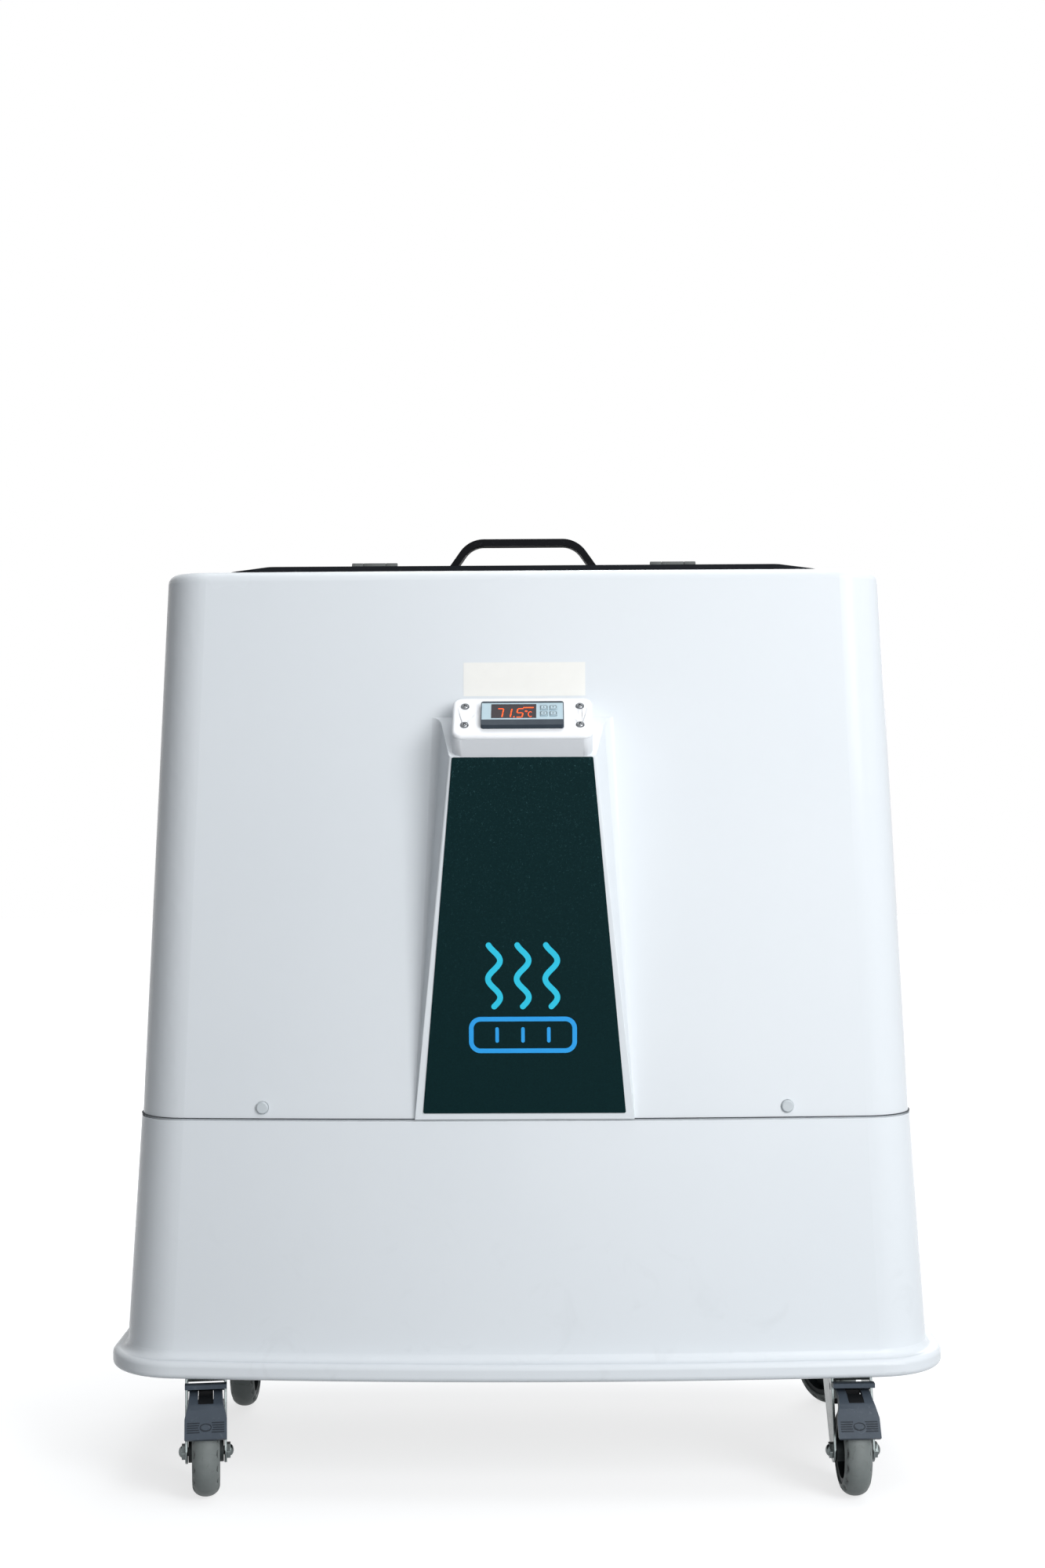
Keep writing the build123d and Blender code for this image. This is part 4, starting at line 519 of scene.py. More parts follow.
lit = []
for digit, digit_x in digit_places.items():
    for letter in digit_segments[digit]:
        start, end = [(x * digit_width, y * digit_height) for x, y in segment_places[letter]]
        lit.append(leaning(segment(start, end, segment_width), (digit_x, digit_foot)))
point_place, point_radius = (0.0002, -0.0088), 0.0007
lit.append(disc(point_place, point_radius, count=12))
degree_place, degree_radius, degree_line = (0.0112, -0.0006), 0.0009, 0.0005
lit += stroke(ring(degree_place, degree_radius, count=16), degree_line)
unit_x, unit_y, unit_half_width, unit_half_height, unit_line = 0.0150, -0.0050, 0.0019, 0.0036, 0.0007
unit_turns = [step / 10 for step in range(9, 55)]
lit += stroke(
    [(unit_x + unit_half_width * cos(turn), unit_y + unit_half_height * sin(turn)) for turn in unit_turns],
    unit_line)
bar_left, bar_right, bar_foot, bar_top = 0.0086, 0.0180, 0.0040, 0.0054
lit.append([(bar_left, bar_foot), (bar_right, bar_foot), (bar_right, bar_top), (bar_left, bar_top)])
lay_on(
    "lit_digits", lit, centre_of("display_window"), rightward, slope_up, skin_of("display_window"),
    digit_glow, "heater", print_thickness)
arrow_half, arrow_base = 0.0009, 0.0007
stripe_half, stripe_line, upper_stripe, lower_stripe = 0.0011, 0.0005, 0.0004, -0.0005
power_radius, power_line, power_foot, power_top = 0.0009, 0.0004, 0.0002, 0.0012
power_turns = [step / 8 for step in range(5, 46)]
power_ring = [(power_radius * sin(turn), power_radius * cos(turn)) for turn in power_turns]
key_marks = {
    "up": [[(-arrow_half, -arrow_base), (arrow_half, -arrow_base), (0.0, arrow_half)]],
    "down": [[(-arrow_half, arrow_base), (0.0, -arrow_half), (arrow_half, arrow_base)]],
    "set": [
        shape for level in (upper_stripe, lower_stripe)
        for shape in stroke([(-stripe_half, level), (stripe_half, level)], stripe_line)],
    "power": stroke(power_ring, power_line) + stroke([(0, power_foot), (0, power_top)], power_line),
}
# Dark ring just inside each key's edge: painted shade of the gap round the key.
gap_shade_inset, gap_shade_corner, gap_shade_width = 0.0006, 0.0009, 0.00042
for key, shapes in key_marks.items():
    key_low, key_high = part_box(f"button_{key}")
    half_wide = (key_high.x - key_low.x) / 2 - gap_shade_inset
    half_tall = (key_high - key_low).dot(slope_up) / 2 - gap_shade_inset
    gap_shade_ring = stroke(round_frame(half_wide, min(half_tall, half_wide), gap_shade_corner), gap_shade_width)
    lay_on(
        f"{key}_key_mark", shapes + gap_shade_ring, centre_of(f"button_{key}"), rightward, slope_up,
        skin_of(f"button_{key}"), ink_and_gap_shade, f"{key}_key", print_thickness)

# Screws.
# Stainless pan head screws with a cross recess, in the cover, the service plate and under the seam caps.
# The handle screws and hinge pins of the lid are of the same steel.
# Its colour is kept dark, a painted reflection of darker surroundings on the polished heads.
dark_reflection_steel = moulded(
    "dark_reflection_steel", (134, 137, 140), (104, 106, 110), patch=0.003, rough=(0.16, 0.26),
    grain_size=0.0005, grain_depth=0.00001, metallic=1.0,
)
dress(dark_reflection_steel, "pan_head_screws", "lid_handle_screws", "lid_hinge_pins")


def islands_of(name):
    """Corner points of each separate solid in a CAD node."""
    mesh = nodes[name].data
    keys = [tuple(round(c, 5) for c in v.co) for v in mesh.vertices]
    parent = {k: k for k in keys}

    def root(k):
        while parent[k] != k:
            parent[k] = parent[parent[k]]
            k = parent[k]
        return k

    for face in mesh.polygons:
        first = root(keys[face.vertices[0]])
        for v in face.vertices[1:]:
            parent[root(keys[v])] = first
    found = {}
    for k in parent:
        found.setdefault(root(k), []).append(Vector(k))
    return [found[k] for k in sorted(found)]


recess_floor, recess_depth, dome_power = 0.15, 0.85, 3.2
arm_half_width, arm_edge, arm_reach = 0.17, 0.05, 0.62


def screw_head(points, faces, centre, out, radius, rise, count=40, rings=16):
    """Adds a domed head with a cross recess, its foot at the centre and its crown along out."""
    side = out.orthogonal().normalized()
    other = out.cross(side)
    points.append(centre + out * rise * recess_floor)
    start = len(points)
    for step in range(1, rings + 1):
        r = radius * step / rings
        dome = rise * sqrt(max(0.0, 1 - (r / radius) ** dome_power))
        for i in range(count):
            x, y = r * cos(2 * pi * i / count), r * sin(2 * pi * i / count)
            arm, width = max(abs(x), abs(y)), min(abs(x), abs(y))
            inside_arm = min(1.0, max(0.0, (arm_half_width * radius - width) / (arm_edge * radius)))
            sunk = inside_arm * max(0.0, 1 - (arm / (arm_reach * radius)) ** 4)
            points.append(centre + side * x + other * y + out * (dome - recess_depth * rise * sunk))
    faces += [(start - 1, start + i, start + (i + 1) % count) for i in range(count)]
    for step in range(rings - 1):
        for i in range(count):
            a, b = start + step * count + i, start + step * count + (i + 1) % count
            faces.append((a, b, b + count, a + count))
    foot = start + (rings - 1) * count
    faces.append(tuple(range(foot, foot + count)))


def off_axis(point, middle, axis):
    """Distance of a point from an axis through the middle."""
    arm = point - middle
    return (arm - axis * arm.dot(axis)).length


cover_screws_above, crown_slack, rim_share = 0.6, 0.0004, 0.95
head_points, head_faces = [], []
for island in islands_of("pan_head_screws"):
    middle = sum(island, Vector()) / len(island)
    out = slope_out if middle.z > cover_screws_above else Vector((0, 1 if middle.y > 0 else -1, 0))
    top = max(p.dot(out) for p in island)
    crown = [p for p in island if p.dot(out) > top - crown_slack]
    middle = sum(crown, Vector()) / len(crown)
    radius = max(off_axis(p, middle, out) for p in island)
    rim = [p for p in island if off_axis(p, middle, out) > radius * rim_share]
    foot = min(p.dot(out) for p in rim)
    middle += out * (foot - middle.dot(out))
    screw_head(head_points, head_faces, middle, out, radius, top - foot)
heads = new_piece("cross_recess_heads", head_points, head_faces, dark_reflection_steel, "heater", True)
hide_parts("pan_head_screws")

# Lid: two leaves, handle and hinges.
# Pressed leaves with a fine black powder coat, a bent flat handle painted darker, and plain grey
# hinges, screwed on, whose pins lie over the gap between the leaves.
lid_paint = moulded(
    "lid_powder_coat", (36, 38, 42), (29, 31, 34), patch=0.05, rough=(0.5, 0.62),
    grain_size=0.0011, grain_depth=0.00006, gloss=0.0,
    wear=0.35, wear_colour=(64, 66, 70), wear_size=0.012,
)
dress(lid_paint, "lid_front_leaf", "lid_rear_leaf")
ease_edges("lid_front_leaf", "lid_rear_leaf", width=0.0008)
handle_paint = moulded(
    "handle_paint", (16, 17, 21), (11, 12, 15), patch=0.02, rough=(0.4, 0.5),
    grain_size=0.0008, grain_depth=0.00003, gloss=0.05,
    wear=0.5, wear_colour=(58, 60, 64), wear_size=0.004,
)
dress(handle_paint, "lid_handle")
ease_edges("lid_handle", width=0.0006)
hinge_steel = moulded(
    "hinge_steel", (112, 115, 114), (92, 95, 95), patch=0.01, rough=(0.5, 0.62),
    grain_size=0.001, grain_depth=0.00003, gloss=0.0,
    wear=0.6, wear_colour=(168, 170, 170), wear_size=0.004,
)
dress(hinge_steel, "lid_hinge_front_straps", "lid_hinge_rear_straps")
ease_edges("lid_hinge_front_straps", "lid_hinge_rear_straps", width=0.0004)
hinge_places, strap_screw_places, strap_screw_inset = (-0.148, 0.148), (-0.020, 0.0, 0.020), 0.009
strap_head_radius, strap_head_rise, above_lid = 0.0031, 0.0011, 1.0
for leaf, strap_node, away in (
    ("front_lid_leaf", "lid_hinge_front_straps", -1), ("rear_lid_leaf", "lid_hinge_rear_straps", 1),
):
    strap_skin = skin_of(strap_node)
    strap_low, strap_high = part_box(strap_node)
    screw_y = (strap_low.y if away < 0 else strap_high.y) - away * strap_screw_inset
    strap_points, strap_faces = [], []
    for hinge_x in hinge_places:
        for screw_x in strap_screw_places:
            hit = strap_skin.ray_cast(Vector((hinge_x + screw_x, screw_y, above_lid)), -upward)[0]
            screw_head(
                strap_points, strap_faces, hit, upward, strap_head_radius, strap_head_rise,
                count=28, rings=12)
    new_piece(f"{leaf}_strap_screws", strap_points, strap_faces, dark_reflection_steel, leaf, True)

# Tank, guard, service plate and pack rack.
# Drawn and welded stainless steel with a brushed grain. The rack is bright drawn wire, and the nuts,
# the probe and the drain pipe have the same bright finish.
brushed_grain, given, result = new_group(
    "brushed_grain",
    (("Colour", "c"), ("Shade", "c"), ("Line Length", "f"), ("Line Width", "f"), ("Rough Low", "f"),
     ("Rough High", "f"), ("Line Depth", "f"), ("Stain Colour", "c"), ("Stain Size", "f"),
     ("Stain Amount", "f")),
    (("Colour", "c"), ("Roughness", "f"), ("Normal", "v")),
)
tree = brushed_grain
place = tree.nodes.new("ShaderNodeTexCoord").outputs["Object"]
line_place = divided(tree, place, given["Line Length"], given["Line Width"], given["Line Width"])
lines = noise(tree, line_place, detail=3.0)
staining = noise(tree, divided(tree, place, given["Stain Size"]), detail=5.0, distortion=0.8)
stained = times(tree, ranged(tree, staining, low=0.55, high=0.72), given["Stain Amount"])
brushed = mixed(tree, lines, given["Colour"], given["Shade"])
tree.links.new(mixed(tree, stained, brushed, given["Stain Colour"]), result["Colour"])
roughness = ranged(tree, lines, low=0.3, high=0.7, to_low=given["Rough Low"], to_high=given["Rough High"])
tree.links.new(roughness, result["Roughness"])
scratches = tree.nodes.new("ShaderNodeBump")
tree.links.new(given["Line Depth"], scratches.inputs["Distance"])
tree.links.new(lines, scratches.inputs["Height"])
tree.links.new(scratches.outputs["Normal"], result["Normal"])
tank_steel = finish(
    "brushed_tank_steel", brushed_grain, (188, 190, 192), (164, 167, 170), metallic=1.0,
    line_length=0.12, line_width=0.0012, line_depth=0.00002, rough_low=0.22, rough_high=0.36,
    stain_colour=(150, 146, 138), stain_size=0.03, stain_amount=0.35,
)
dress(tank_steel, "tank", "element_guard", "service_plate")
rack_wire = moulded(
    "rack_wire", (200, 202, 204), (176, 179, 182), patch=0.02, rough=(0.14, 0.24),
    grain_size=0.001, grain_depth=0.00001, metallic=1.0,
    wear=0.4, wear_colour=(150, 148, 142), wear_size=0.01,
)
dress(rack_wire, "rack_dividers", "rack_hoops", "tank_nuts", "temperature_probe", "drain_pipe")

# Heating element.
# Swaged tube, its sheath browned by use and white with scale where the water boils off it.
sheath = moulded(
    "element_sheath", (98, 90, 82), (72, 67, 63), patch=0.02, rough=(0.42, 0.6),
    grain_size=0.0012, grain_depth=0.00006, metallic=0.8,
    wear=0.6, wear_colour=(176, 172, 162), wear_size=0.012,
)
dress(sheath, "heating_element")

# Gasket and insulation.
# Black sponge strip under the rim, and cut boards of rigid foam round the tank.
gasket_rubber = moulded(
    "gasket_rubber", (26, 26, 26), (19, 19, 19), patch=0.01, rough=(0.65, 0.8),
    grain_size=0.0009, grain_depth=0.0001,
)
dress(gasket_rubber, "tank_gasket")
foam = moulded(
    "board_foam", (222, 211, 178), (206, 194, 160), patch=0.05, rough=(0.8, 0.92),
    grain_size=0.0018, grain_depth=0.0004,
)
dress(foam, "insulation_boards")

# Drain valve, lever and service fittings.
# Brass ball valve with a vinyl dipped lever, and black nylon inlet, switch and limit thermostat.
brass = moulded(
    "valve_brass", (192, 158, 92), (158, 126, 70), patch=0.008, rough=(0.24, 0.38),
    grain_size=0.001, grain_depth=0.00003, metallic=1.0,
    wear=0.5, wear_colour=(116, 96, 62), wear_size=0.006,
)
dress(brass, "drain_valve_body")
ease_edges("drain_valve_body", width=0.0004)
lever_vinyl = moulded(
    "lever_vinyl", (150, 28, 26), (130, 22, 22), patch=0.01, rough=(0.34, 0.46),
    grain_size=0.001, grain_depth=0.00004,
)
dress(lever_vinyl, "drain_lever")
ease_edges("drain_lever", width=0.0008)
black_nylon = moulded(
    "black_nylon", (28, 28, 30), (21, 21, 23), patch=0.01, rough=(0.42, 0.54),
    grain_size=0.0007, grain_depth=0.00003,
)
dress(black_nylon, "mains_inlet", "power_switch_frame", "power_rocker", "limit_thermostat")
ease_edges("mains_inlet", "power_switch_frame", "power_rocker", width=0.0004)
rocker_ink = moulded(
    "rocker_ink", (226, 228, 230), (216, 218, 221), patch=0.002, rough=(0.4, 0.5),
    grain_size=0.0005, grain_depth=0.0,
)
leftward = Vector((-1, 0, 0))
on_foot, on_top, on_line = 0.0042, 0.0078, 0.0008
off_place, off_radius, off_line = (0, -0.006), 0.0017, 0.0007
on_mark = stroke([(0.0, on_foot), (0.0, on_top)], on_line)
off_mark = stroke(ring(off_place, off_radius), off_line)
lay_on(
    "rocker_marks", on_mark + off_mark, centre_of("power_rocker"), leftward, upward,
    skin_of("power_rocker"), rocker_ink, "rocker", print_thickness)

# Chassis plate, posts and relay box.
# Folded sheet and square tube with a dark powder coat, and a grey moulded box for the relay.
chassis_paint = moulded(
    "chassis_powder_coat", (50, 52, 55), (40, 42, 45), patch=0.03, rough=(0.5, 0.62),
    grain_size=0.0013, grain_depth=0.00006,
    wear=0.5, wear_colour=(96, 98, 100), wear_size=0.012,
)
dress(chassis_paint, "chassis_plate", "tank_posts")
relay_plastic = moulded(
    "relay_plastic", (86, 90, 94), (76, 80, 84), patch=0.03, rough=(0.5, 0.6),
    grain_size=0.001, grain_depth=0.00004,
)
dress(relay_plastic, "relay_box")
ease_edges("relay_box", width=0.0008)

# Caster stems, forks and axles.
# Pressed steel forks with bright zinc plate, turning on ball races under the chassis plate, and
# axles held by plated dome nuts.
# Its colour is kept dark, a painted reflection of darker surroundings on the plated steel.
dark_reflection_zinc = moulded(
    "zinc_painted_dark_reflection", (122, 129, 129), (76, 82, 83), patch=0.008, rough=(0.16, 0.28),
    grain_size=0.001, grain_depth=0.00002, metallic=1.0,
    wear=0.5, wear_colour=(132, 136, 136), wear_size=0.004,
)
dress(dark_reflection_zinc, "caster_stems")
joints = {joint["name"]: joint for joint in frame["joints"]}


def axle_of(corner):
    """Hub and axle direction of one caster."""
    roll = joints[f"{corner}_wheel_roll"]
    return Vector(roll["pos_m"]), Vector(roll["axis"]).normalized()


def around(hub, axle, along, radius, turn):
    """Point at an angle round an axle, in a plane that far along it."""
    return hub + axle * along + (upward.cross(axle) * cos(turn) + upward * sin(turn)) * radius


def turned(profile, centre, axle, count, name, material, body):
    """Piece turned about an axle from (along, radius) points."""
    points, faces = [], []
    for along, radius in profile:
        points += [around(centre, axle, along, radius, 2 * pi * i / count) for i in range(count)]
    for k in range(len(profile) - 1):
        for i in range(count):
            a, b = k * count + i, k * count + (i + 1) % count
            faces.append((a, a + count, b + count, b))
    last = len(points) - count
    faces += [tuple(range(count)), tuple(range(last, last + count))]
    new_piece(name, points, faces, material, body, True)


caster_corners = ("front_left", "front_right", "rear_left", "rear_right")
dome_sunk, dome_rise, dome_radius, dome_steps, dome_sides = 0.0004, 0.0034, 0.0052, 8, 28
dome_turns = [step * pi / 2 / dome_steps for step in range(dome_steps)]
for corner in caster_corners:
    dress(dark_reflection_zinc, f"{corner}_fork", f"{corner}_axle")
    ease_edges(f"{corner}_fork", width=0.0005)
    ease_edges(f"{corner}_axle", width=0.0003)
    hub, axle = axle_of(corner)
    reach = max((v.co - hub).dot(axle) for v in nodes[f"{corner}_axle"].data.vertices)
    for side, sign in (("left", -1), ("right", 1)):
        dome = [(sign * (reach - dome_sunk + dome_rise * sin(t)), dome_radius * cos(t)) for t in dome_turns]
        turned(dome, hub, axle, dome_sides, f"{corner}_nut_dome_{side}", dark_reflection_zinc, f"{corner}_swivel")

# Wheels and tyres.
# Dark moulded core with a soft grey tread cast round it. The tread's walls have a ring of oval pockets;
# their deeper faces are coloured dark, painted shade in the recesses.
core_plastic = moulded(
    "core_plastic", (46, 52, 53), (37, 43, 44), patch=0.01, rough=(0.42, 0.54),
    grain_size=0.001, grain_depth=0.00003, gloss=0.2,
)
tyre_rubber = moulded(
    "tyre_rubber", (124, 130, 129), (106, 113, 112), patch=0.01, rough=(0.46, 0.62),
    grain_size=0.0009, grain_depth=0.00006, gloss=0.3,
    wear=0.5, wear_colour=(92, 97, 96), wear_size=0.008,
)
pocket_painted_shade = moulded(
    "pocket_painted_shade", (52, 57, 57), (43, 48, 48), patch=0.006, rough=(0.5, 0.64),
    grain_size=0.001, grain_depth=0.00004,
)
pocket_count, pocket_place, pocket_depth = 16, 0.0040, 0.0015
pocket_half_length, pocket_half_height, pocket_edge, dark_share = 0.0042, 0.0024, 2.4, 0.4
crown_steps, crown_power, tread_steps = 24, 0.95, 128
for corner in caster_corners:
    dress(core_plastic, f"{corner}_wheel")
    hub, axle = axle_of(corner)
    tyre_points = [v.co for v in nodes[f"{corner}_tyre"].data.vertices]
    half = max((p - hub).dot(axle) for p in tyre_points)
    radii = [off_axis(p, hub, axle) for p in tyre_points]
    outer, inner = max(radii), min(radii)
    crown = [pi / 2 * step / crown_steps for step in range(crown_steps + 1)]
    section = [(half * cos(t) ** crown_power, inner + (outer - inner) * sin(t)) for t in crown]
    section += [(-along, radius) for along, radius in reversed(section[:-1])]
    points, faces, dark = [], [], []
    pocket_radius = inner + pocket_place
    for along, radius in section:
        for i in range(tread_steps):
            turn = 2 * pi * i / tread_steps
            near = (turn * pocket_count / (2 * pi)) % 1.0 - 0.5
            sideways = near * 2 * pi * radius / pocket_count / pocket_half_length
            outward = (radius - pocket_radius) / pocket_half_height
            depth = pocket_depth * min(1.0, max(0.0, pocket_edge * (1 - (sideways ** 2 + outward ** 2))))
            dark.append(depth > dark_share * pocket_depth)
            points.append(around(hub, axle, along - depth * (1 if along > 0 else -1), radius, turn))
    for k in range(len(section)):
        here, following = k * tread_steps, (k + 1) % len(section) * tread_steps
        for i in range(tread_steps):
            j = (i + 1) % tread_steps
            faces.append((here + i, following + i, following + j, here + j))
    tread = new_piece(f"{corner}_tread", points, faces, tyre_rubber, f"{corner}_roller", True)
    # The deeper faces of the pockets take the dark colour: painted shade.
    tread.data.materials.append(pocket_painted_shade)
    for face in tread.data.polygons:
        if all(dark[v] for v in face.vertices):
            face.material_index = 1
    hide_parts(f"{corner}_tyre")

# Brake pedals.
# Grey nylon pedals over the front wheels, with raised grip ribs beside an oval boss. Each has a cam
# under its root, and a shelf and block behind it are fixed to the fork; all three are near black,
# painted shade filling the notch at the pedal's root.
pedal_nylon = moulded(
    "pedal_nylon", (70, 79, 89), (58, 67, 77), patch=0.012, rough=(0.4, 0.52),
    grain_size=0.0009, grain_depth=0.00004, gloss=0.2,
    wear=0.4, wear_colour=(98, 106, 115), wear_size=0.006,
)
dress(pedal_nylon, "front_left_brake_pedal", "front_right_brake_pedal")
ease_edges("front_left_brake_pedal", "front_right_brake_pedal", width=0.0006)
# The grip ribs and the ring round the boss are coloured a darker grey than the pedal.
rib_dark_grey = moulded(
    "pedal_rib_dark_grey", (34, 41, 49), (28, 35, 43), patch=0.006, rough=(0.46, 0.58),
    grain_size=0.0009, grain_depth=0.00003, gloss=0.2,
)
# Near black for the cam, shelf and block: painted shade in the pedal's notch.
notch_shade_black = moulded(
    "notch_shade_black", (17, 19, 21), (12, 14, 16), patch=0.006, rough=(0.4, 0.54),
    grain_size=0.0009, grain_depth=0.00003, gloss=0.2,
)
# Corners of the pedal's side view, as distances across and up from the foot of the stem.
pedal_shoulder, pedal_elbow, pedal_tip = (-0.0370, 0.0915), (-0.0510, 0.0860), (-0.0665, 0.0610)
rib_count, rib_top, rib_pitch, rib_height = 5, -0.0150, 0.0021, 0.0008
rib_inner, rib_outer, rib_curve, rib_thickness = 0.0066, 0.0166, 0.0006, 0.0004
boss_place, boss_radius, boss_squash, boss_thickness = (0, -0.0188), 0.0041, 0.62, 0.0005
boss_ring_radius, boss_ring_squash, boss_ring_line = 0.0050, 0.66, 0.0007
cam_count, cam_start, cam_step, cam_sunk = 9, -0.0005, 0.0016, 0.0004
cam_probe, cam_half_width = 0.0105, 0.0067
# Name, half width and side view of each part that stays on the fork.
brake_parts = (
    ("notch_shade_shelf", 0.0164, ((-0.0275, 0.0818), (-0.0240, 0.0812), (-0.0240, 0.0860), (-0.0275, 0.0866))),
    ("notch_shade_block", 0.0066, ((-0.0285, 0.0862), (-0.0230, 0.0852), (-0.0230, 0.0960), (-0.0285, 0.0950))),
)
block_faces = [(i, (i + 1) % 4, 4 + (i + 1) % 4, 4 + i) for i in range(4)] + [(3, 2, 1, 0), (4, 5, 6, 7)]
for corner in ("front_left", "front_right"):
    axle = axle_of(corner)[1]
    across = upward.cross(axle)
    stem = Vector(joints[f"{corner}_swivel_turn"]["pos_m"])
    stem.z = 0
    down = (across * (pedal_tip[0] - pedal_elbow[0]) + upward * (pedal_tip[1] - pedal_elbow[1])).normalized()
    top = stem + across * pedal_elbow[0] + upward * pedal_elbow[1]
    ribs = []
    for side in (-1, 1):
        for step in range(rib_count):
            foot = rib_top - rib_pitch * step
            crest = foot + rib_height
            start = side * (rib_inner - rib_curve * abs(step - rib_count // 2))
            left, right = sorted((start, side * rib_outer))
            ribs.append([(left, foot), (right, foot), (right, crest), (left, crest)])
    ribs += stroke(ring(boss_place, boss_ring_radius, count=32, squash=boss_ring_squash), boss_ring_line)
    boss = [disc(boss_place, boss_radius, count=28, squash=boss_squash)]
    skin = skin_of(f"{corner}_brake_pedal")
    lay_on(f"{corner}_pedal_ribs", ribs, top, axle, -down, skin, rib_dark_grey, f"{corner}_brake", rib_thickness)
    lay_on(
        f"{corner}_pedal_boss", boss, top, axle, -down, skin, pedal_nylon, f"{corner}_brake", boss_thickness)
    root = stem + across * pedal_shoulder[0] + upward * pedal_shoulder[1]
    ahead = (top - root).normalized()
    above = ahead.cross(axle) if ahead.cross(axle).z > 0 else axle.cross(ahead)
    cam_points, cam_faces = [], []
    for step in range(cam_count):
        place = root + ahead * (cam_start + cam_step * step) + axle * cam_probe
        upper = skin.ray_cast(place + above * drop_height, -above)[0]
        lower = skin.ray_cast(place - above * drop_height, above)[0]
        for side in (-1, 1):
            for level in (upper - above * cam_sunk, lower + above * cam_sunk):
                cam_points.append(level - axle * (cam_probe - side * cam_half_width))
    last = len(cam_points) - 4
    for a in range(0, last, 4):
        b = a + 4
        cam_faces += [(a, a + 2, b + 2, b), (a + 1, b + 1, b + 3, a + 3)]
        cam_faces += [(a, b, b + 1, a + 1), (a + 2, a + 3, b + 3, b + 2)]
    cam_faces += [(0, 1, 3, 2), (last, last + 2, last + 3, last + 1)]
    new_piece(f"{corner}_notch_shade_cam", cam_points, cam_faces, notch_shade_black, f"{corner}_brake")
    for piece, half_wide, line in brake_parts:
        block_points = [
            stem + axle * side * half_wide + across * y + upward * z for side in (-1, 1) for y, z in line]
        block = new_piece(f"{corner}_{piece}", block_points, block_faces, notch_shade_black, f"{corner}_swivel")
        rounding = block.modifiers.new("eased_edges", "BEVEL")
        rounding.width = 0.0004

# Floor, lamps and camera.
# A plain pale floor that brightens to white further out, in a white studio with four soft lamps, the
# key one at the right.
floor_half, near_floor, far_floor, near_glow = 9.0, 0.5, 2.0, 0.72
floor_corners = [(x * floor_half, y * floor_half, 0) for x, y in ((-1, -1), (1, -1), (1, 1), (-1, 1))]
floor_mesh = bpy.data.meshes.new("floor")
floor_mesh.from_pydata(floor_corners, [], [(0, 1, 2, 3)])
floor = bpy.data.objects.new("floor", floor_mesh)
bpy.context.scene.collection.objects.link(floor)


def background_rays(tree):
    """1 for the rays that should see the white background: camera, glossy and transmission ones."""
    rays = tree.nodes.new("ShaderNodeLightPath")
    total = rays.outputs["Is Camera Ray"]
    for kind in ("Is Glossy Ray", "Is Transmission Ray"):
        both = tree.nodes.new("ShaderNodeMath")
        both.operation = "MAXIMUM"
        tree.links.new(total, both.inputs[0])
        tree.links.new(rays.outputs[kind], both.inputs[1])
        total = both.outputs["Value"]
    return total


floor_paint = bpy.data.materials.new("floor_paint")
floor_paint.use_nodes = True
tree = floor_paint.node_tree
paint = tree.nodes["Principled BSDF"]
paint.inputs["Base Color"].default_value = (0.40, 0.41, 0.42, 1)
paint.inputs["Roughness"].default_value = 0.8
paint.inputs["Specular IOR Level"].default_value = 0.1
paint.inputs["Emission Color"].default_value = (1, 1, 1, 1)
floor_place = tree.nodes.new("ShaderNodeNewGeometry")
distance = tree.nodes.new("ShaderNodeVectorMath")
distance.operation = "LENGTH"
tree.links.new(floor_place.outputs["Position"], distance.inputs[0])
rise = ranged(tree, distance.outputs["Value"], near_floor, far_floor, near_glow, 1.0)
tree.links.new(times(tree, rise, background_rays(tree)), paint.inputs["Emission Strength"])
floor_mesh.materials.append(floor_paint)
floor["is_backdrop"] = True

world = bpy.data.worlds.new("studio")
bpy.context.scene.world = world
world.use_nodes = True
sky = world.node_tree
soft_light = sky.nodes["Background"]
soft_light.inputs["Strength"].default_value = 1.0
way = sky.nodes.new("ShaderNodeSeparateXYZ")
sky.links.new(sky.nodes.new("ShaderNodeTexCoord").outputs["Generated"], way.inputs["Vector"])
side_light = sky.nodes.new("ShaderNodeCombineColor")
dark_side, bright_side = -0.9, 0.7
for channel, low, high in (("Red", 0.01, 0.30), ("Green", 0.011, 0.31), ("Blue", 0.012, 0.33)):
    share = ranged(sky, way.outputs["X"], dark_side, bright_side, low, high)
    sky.links.new(share, side_light.inputs[channel])
sky.links.new(side_light.outputs["Color"], soft_light.inputs["Color"])
white = sky.nodes.new("ShaderNodeBackground")
white.inputs["Color"].default_value = (1, 1, 1, 1)
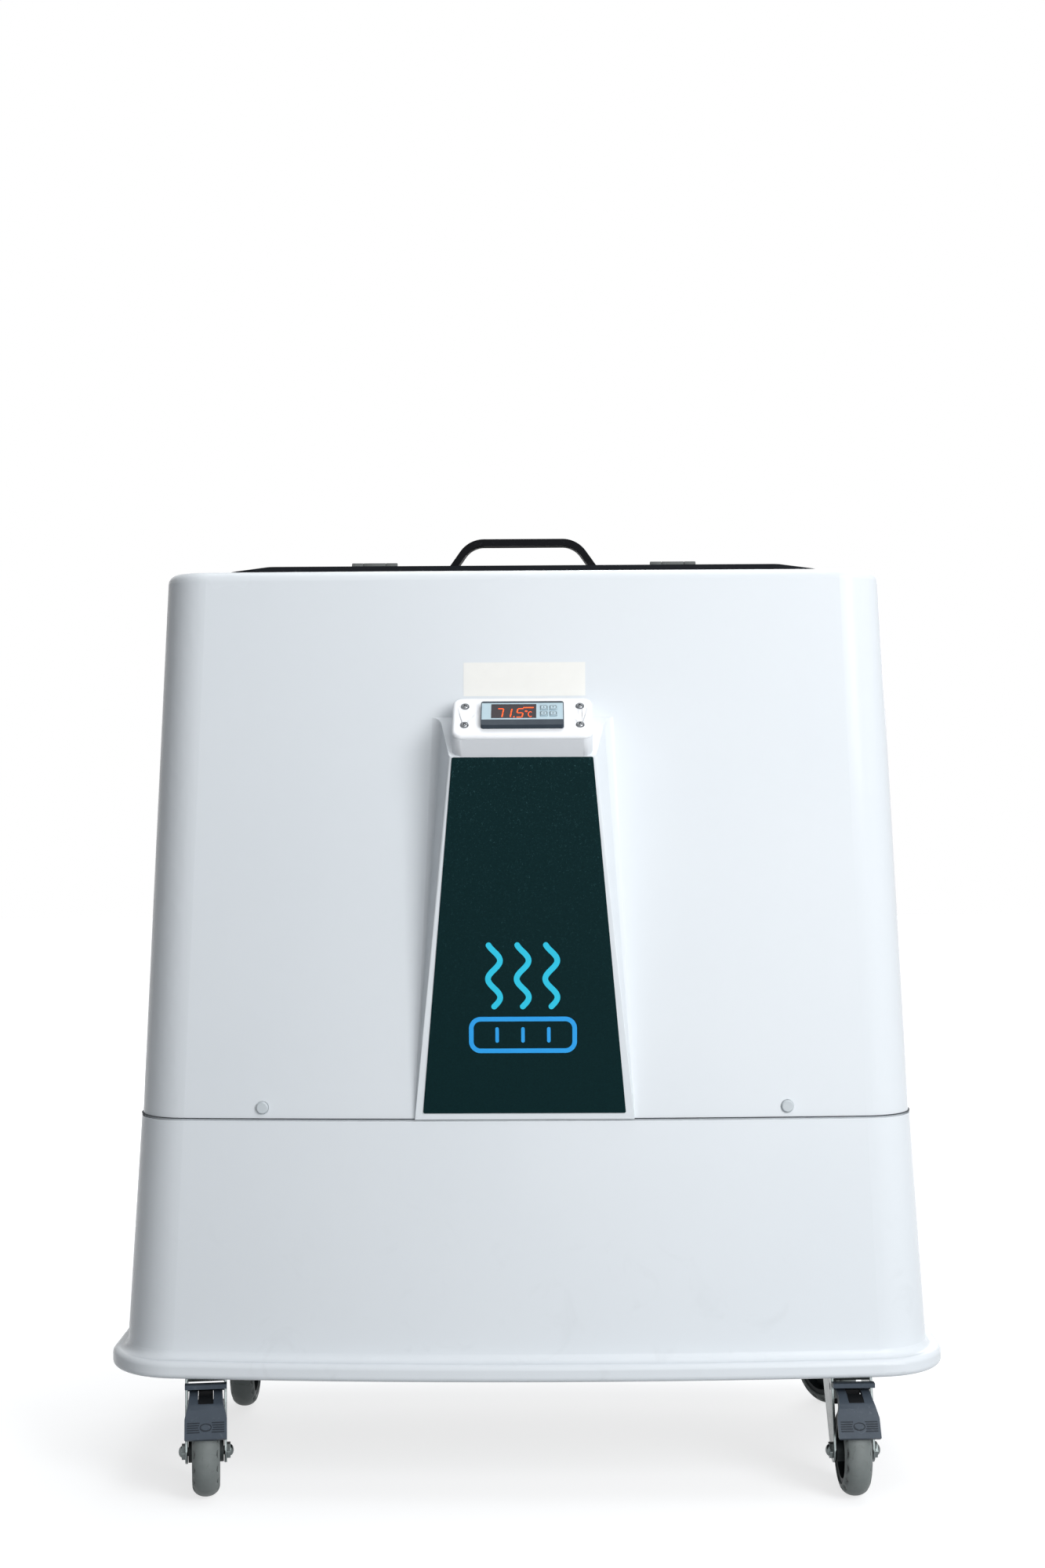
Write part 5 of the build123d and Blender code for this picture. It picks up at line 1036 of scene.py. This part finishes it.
pick = sky.nodes.new("ShaderNodeMixShader")
sky.links.new(background_rays(sky), pick.inputs["Fac"])
sky.links.new(soft_light.outputs["Background"], pick.inputs[1])
sky.links.new(white.outputs["Background"], pick.inputs[2])
sky.links.new(pick.outputs["Shader"], sky.nodes["World Output"].inputs["Surface"])


def soft_lamp(name, place, target, size, power):
    """Softbox that faces a point."""
    lamp = bpy.data.lights.new(name, "AREA")
    lamp.shape = "RECTANGLE"
    lamp.size, lamp.size_y = size
    lamp.energy = power
    holder = bpy.data.objects.new(name, lamp)
    bpy.context.scene.collection.objects.link(holder)
    holder.location = place
    holder.rotation_euler = (Vector(target) - Vector(place)).to_track_quat("-Z", "Y").to_euler()


soft_lamp("key_lamp", place=(1.5, -2.1, 1.6), target=(0.1, 0, 0.55), size=(1.0, 1.6), power=46)
soft_lamp("fill_lamp", place=(0.6, -3.1, 1.1), target=(0, 0, 0.5), size=(1.4, 2.0), power=26)
soft_lamp("top_lamp", place=(0.3, 0.2, 3.0), target=(0, 0, 0.8), size=(2.4, 2.0), power=38)
soft_lamp("rear_lamp", place=(0.6, 2.8, 1.8), target=(0, 0, 0.5), size=(2.4, 2.0), power=40)

photo_height, focal_pixels, shift_pixels, sensor_height = 2000, 2778.0, 10.0, 36.0
camera_place, camera_turn, camera_roll = (0.0204, -2.165, 0.6416), 0.6, -0.286
camera = bpy.data.cameras.new("camera")
camera.sensor_fit = "VERTICAL"
camera.sensor_height = sensor_height
camera.lens = sensor_height * focal_pixels / photo_height
camera.shift_y = shift_pixels / photo_height
camera.clip_end = 50.0
viewer = bpy.data.objects.new("camera", camera)
bpy.context.scene.collection.objects.link(viewer)
viewer.matrix_world = (
    Matrix.Translation(camera_place)
    @ Matrix.Rotation(radians(camera_turn), 4, "Z")
    @ Matrix.Rotation(radians(90.0), 4, "X")
    @ Matrix.Rotation(radians(camera_roll), 4, "Z")
)
bpy.context.scene.camera = viewer
bpy.context.scene.view_settings.view_transform = "Standard"

low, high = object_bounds()
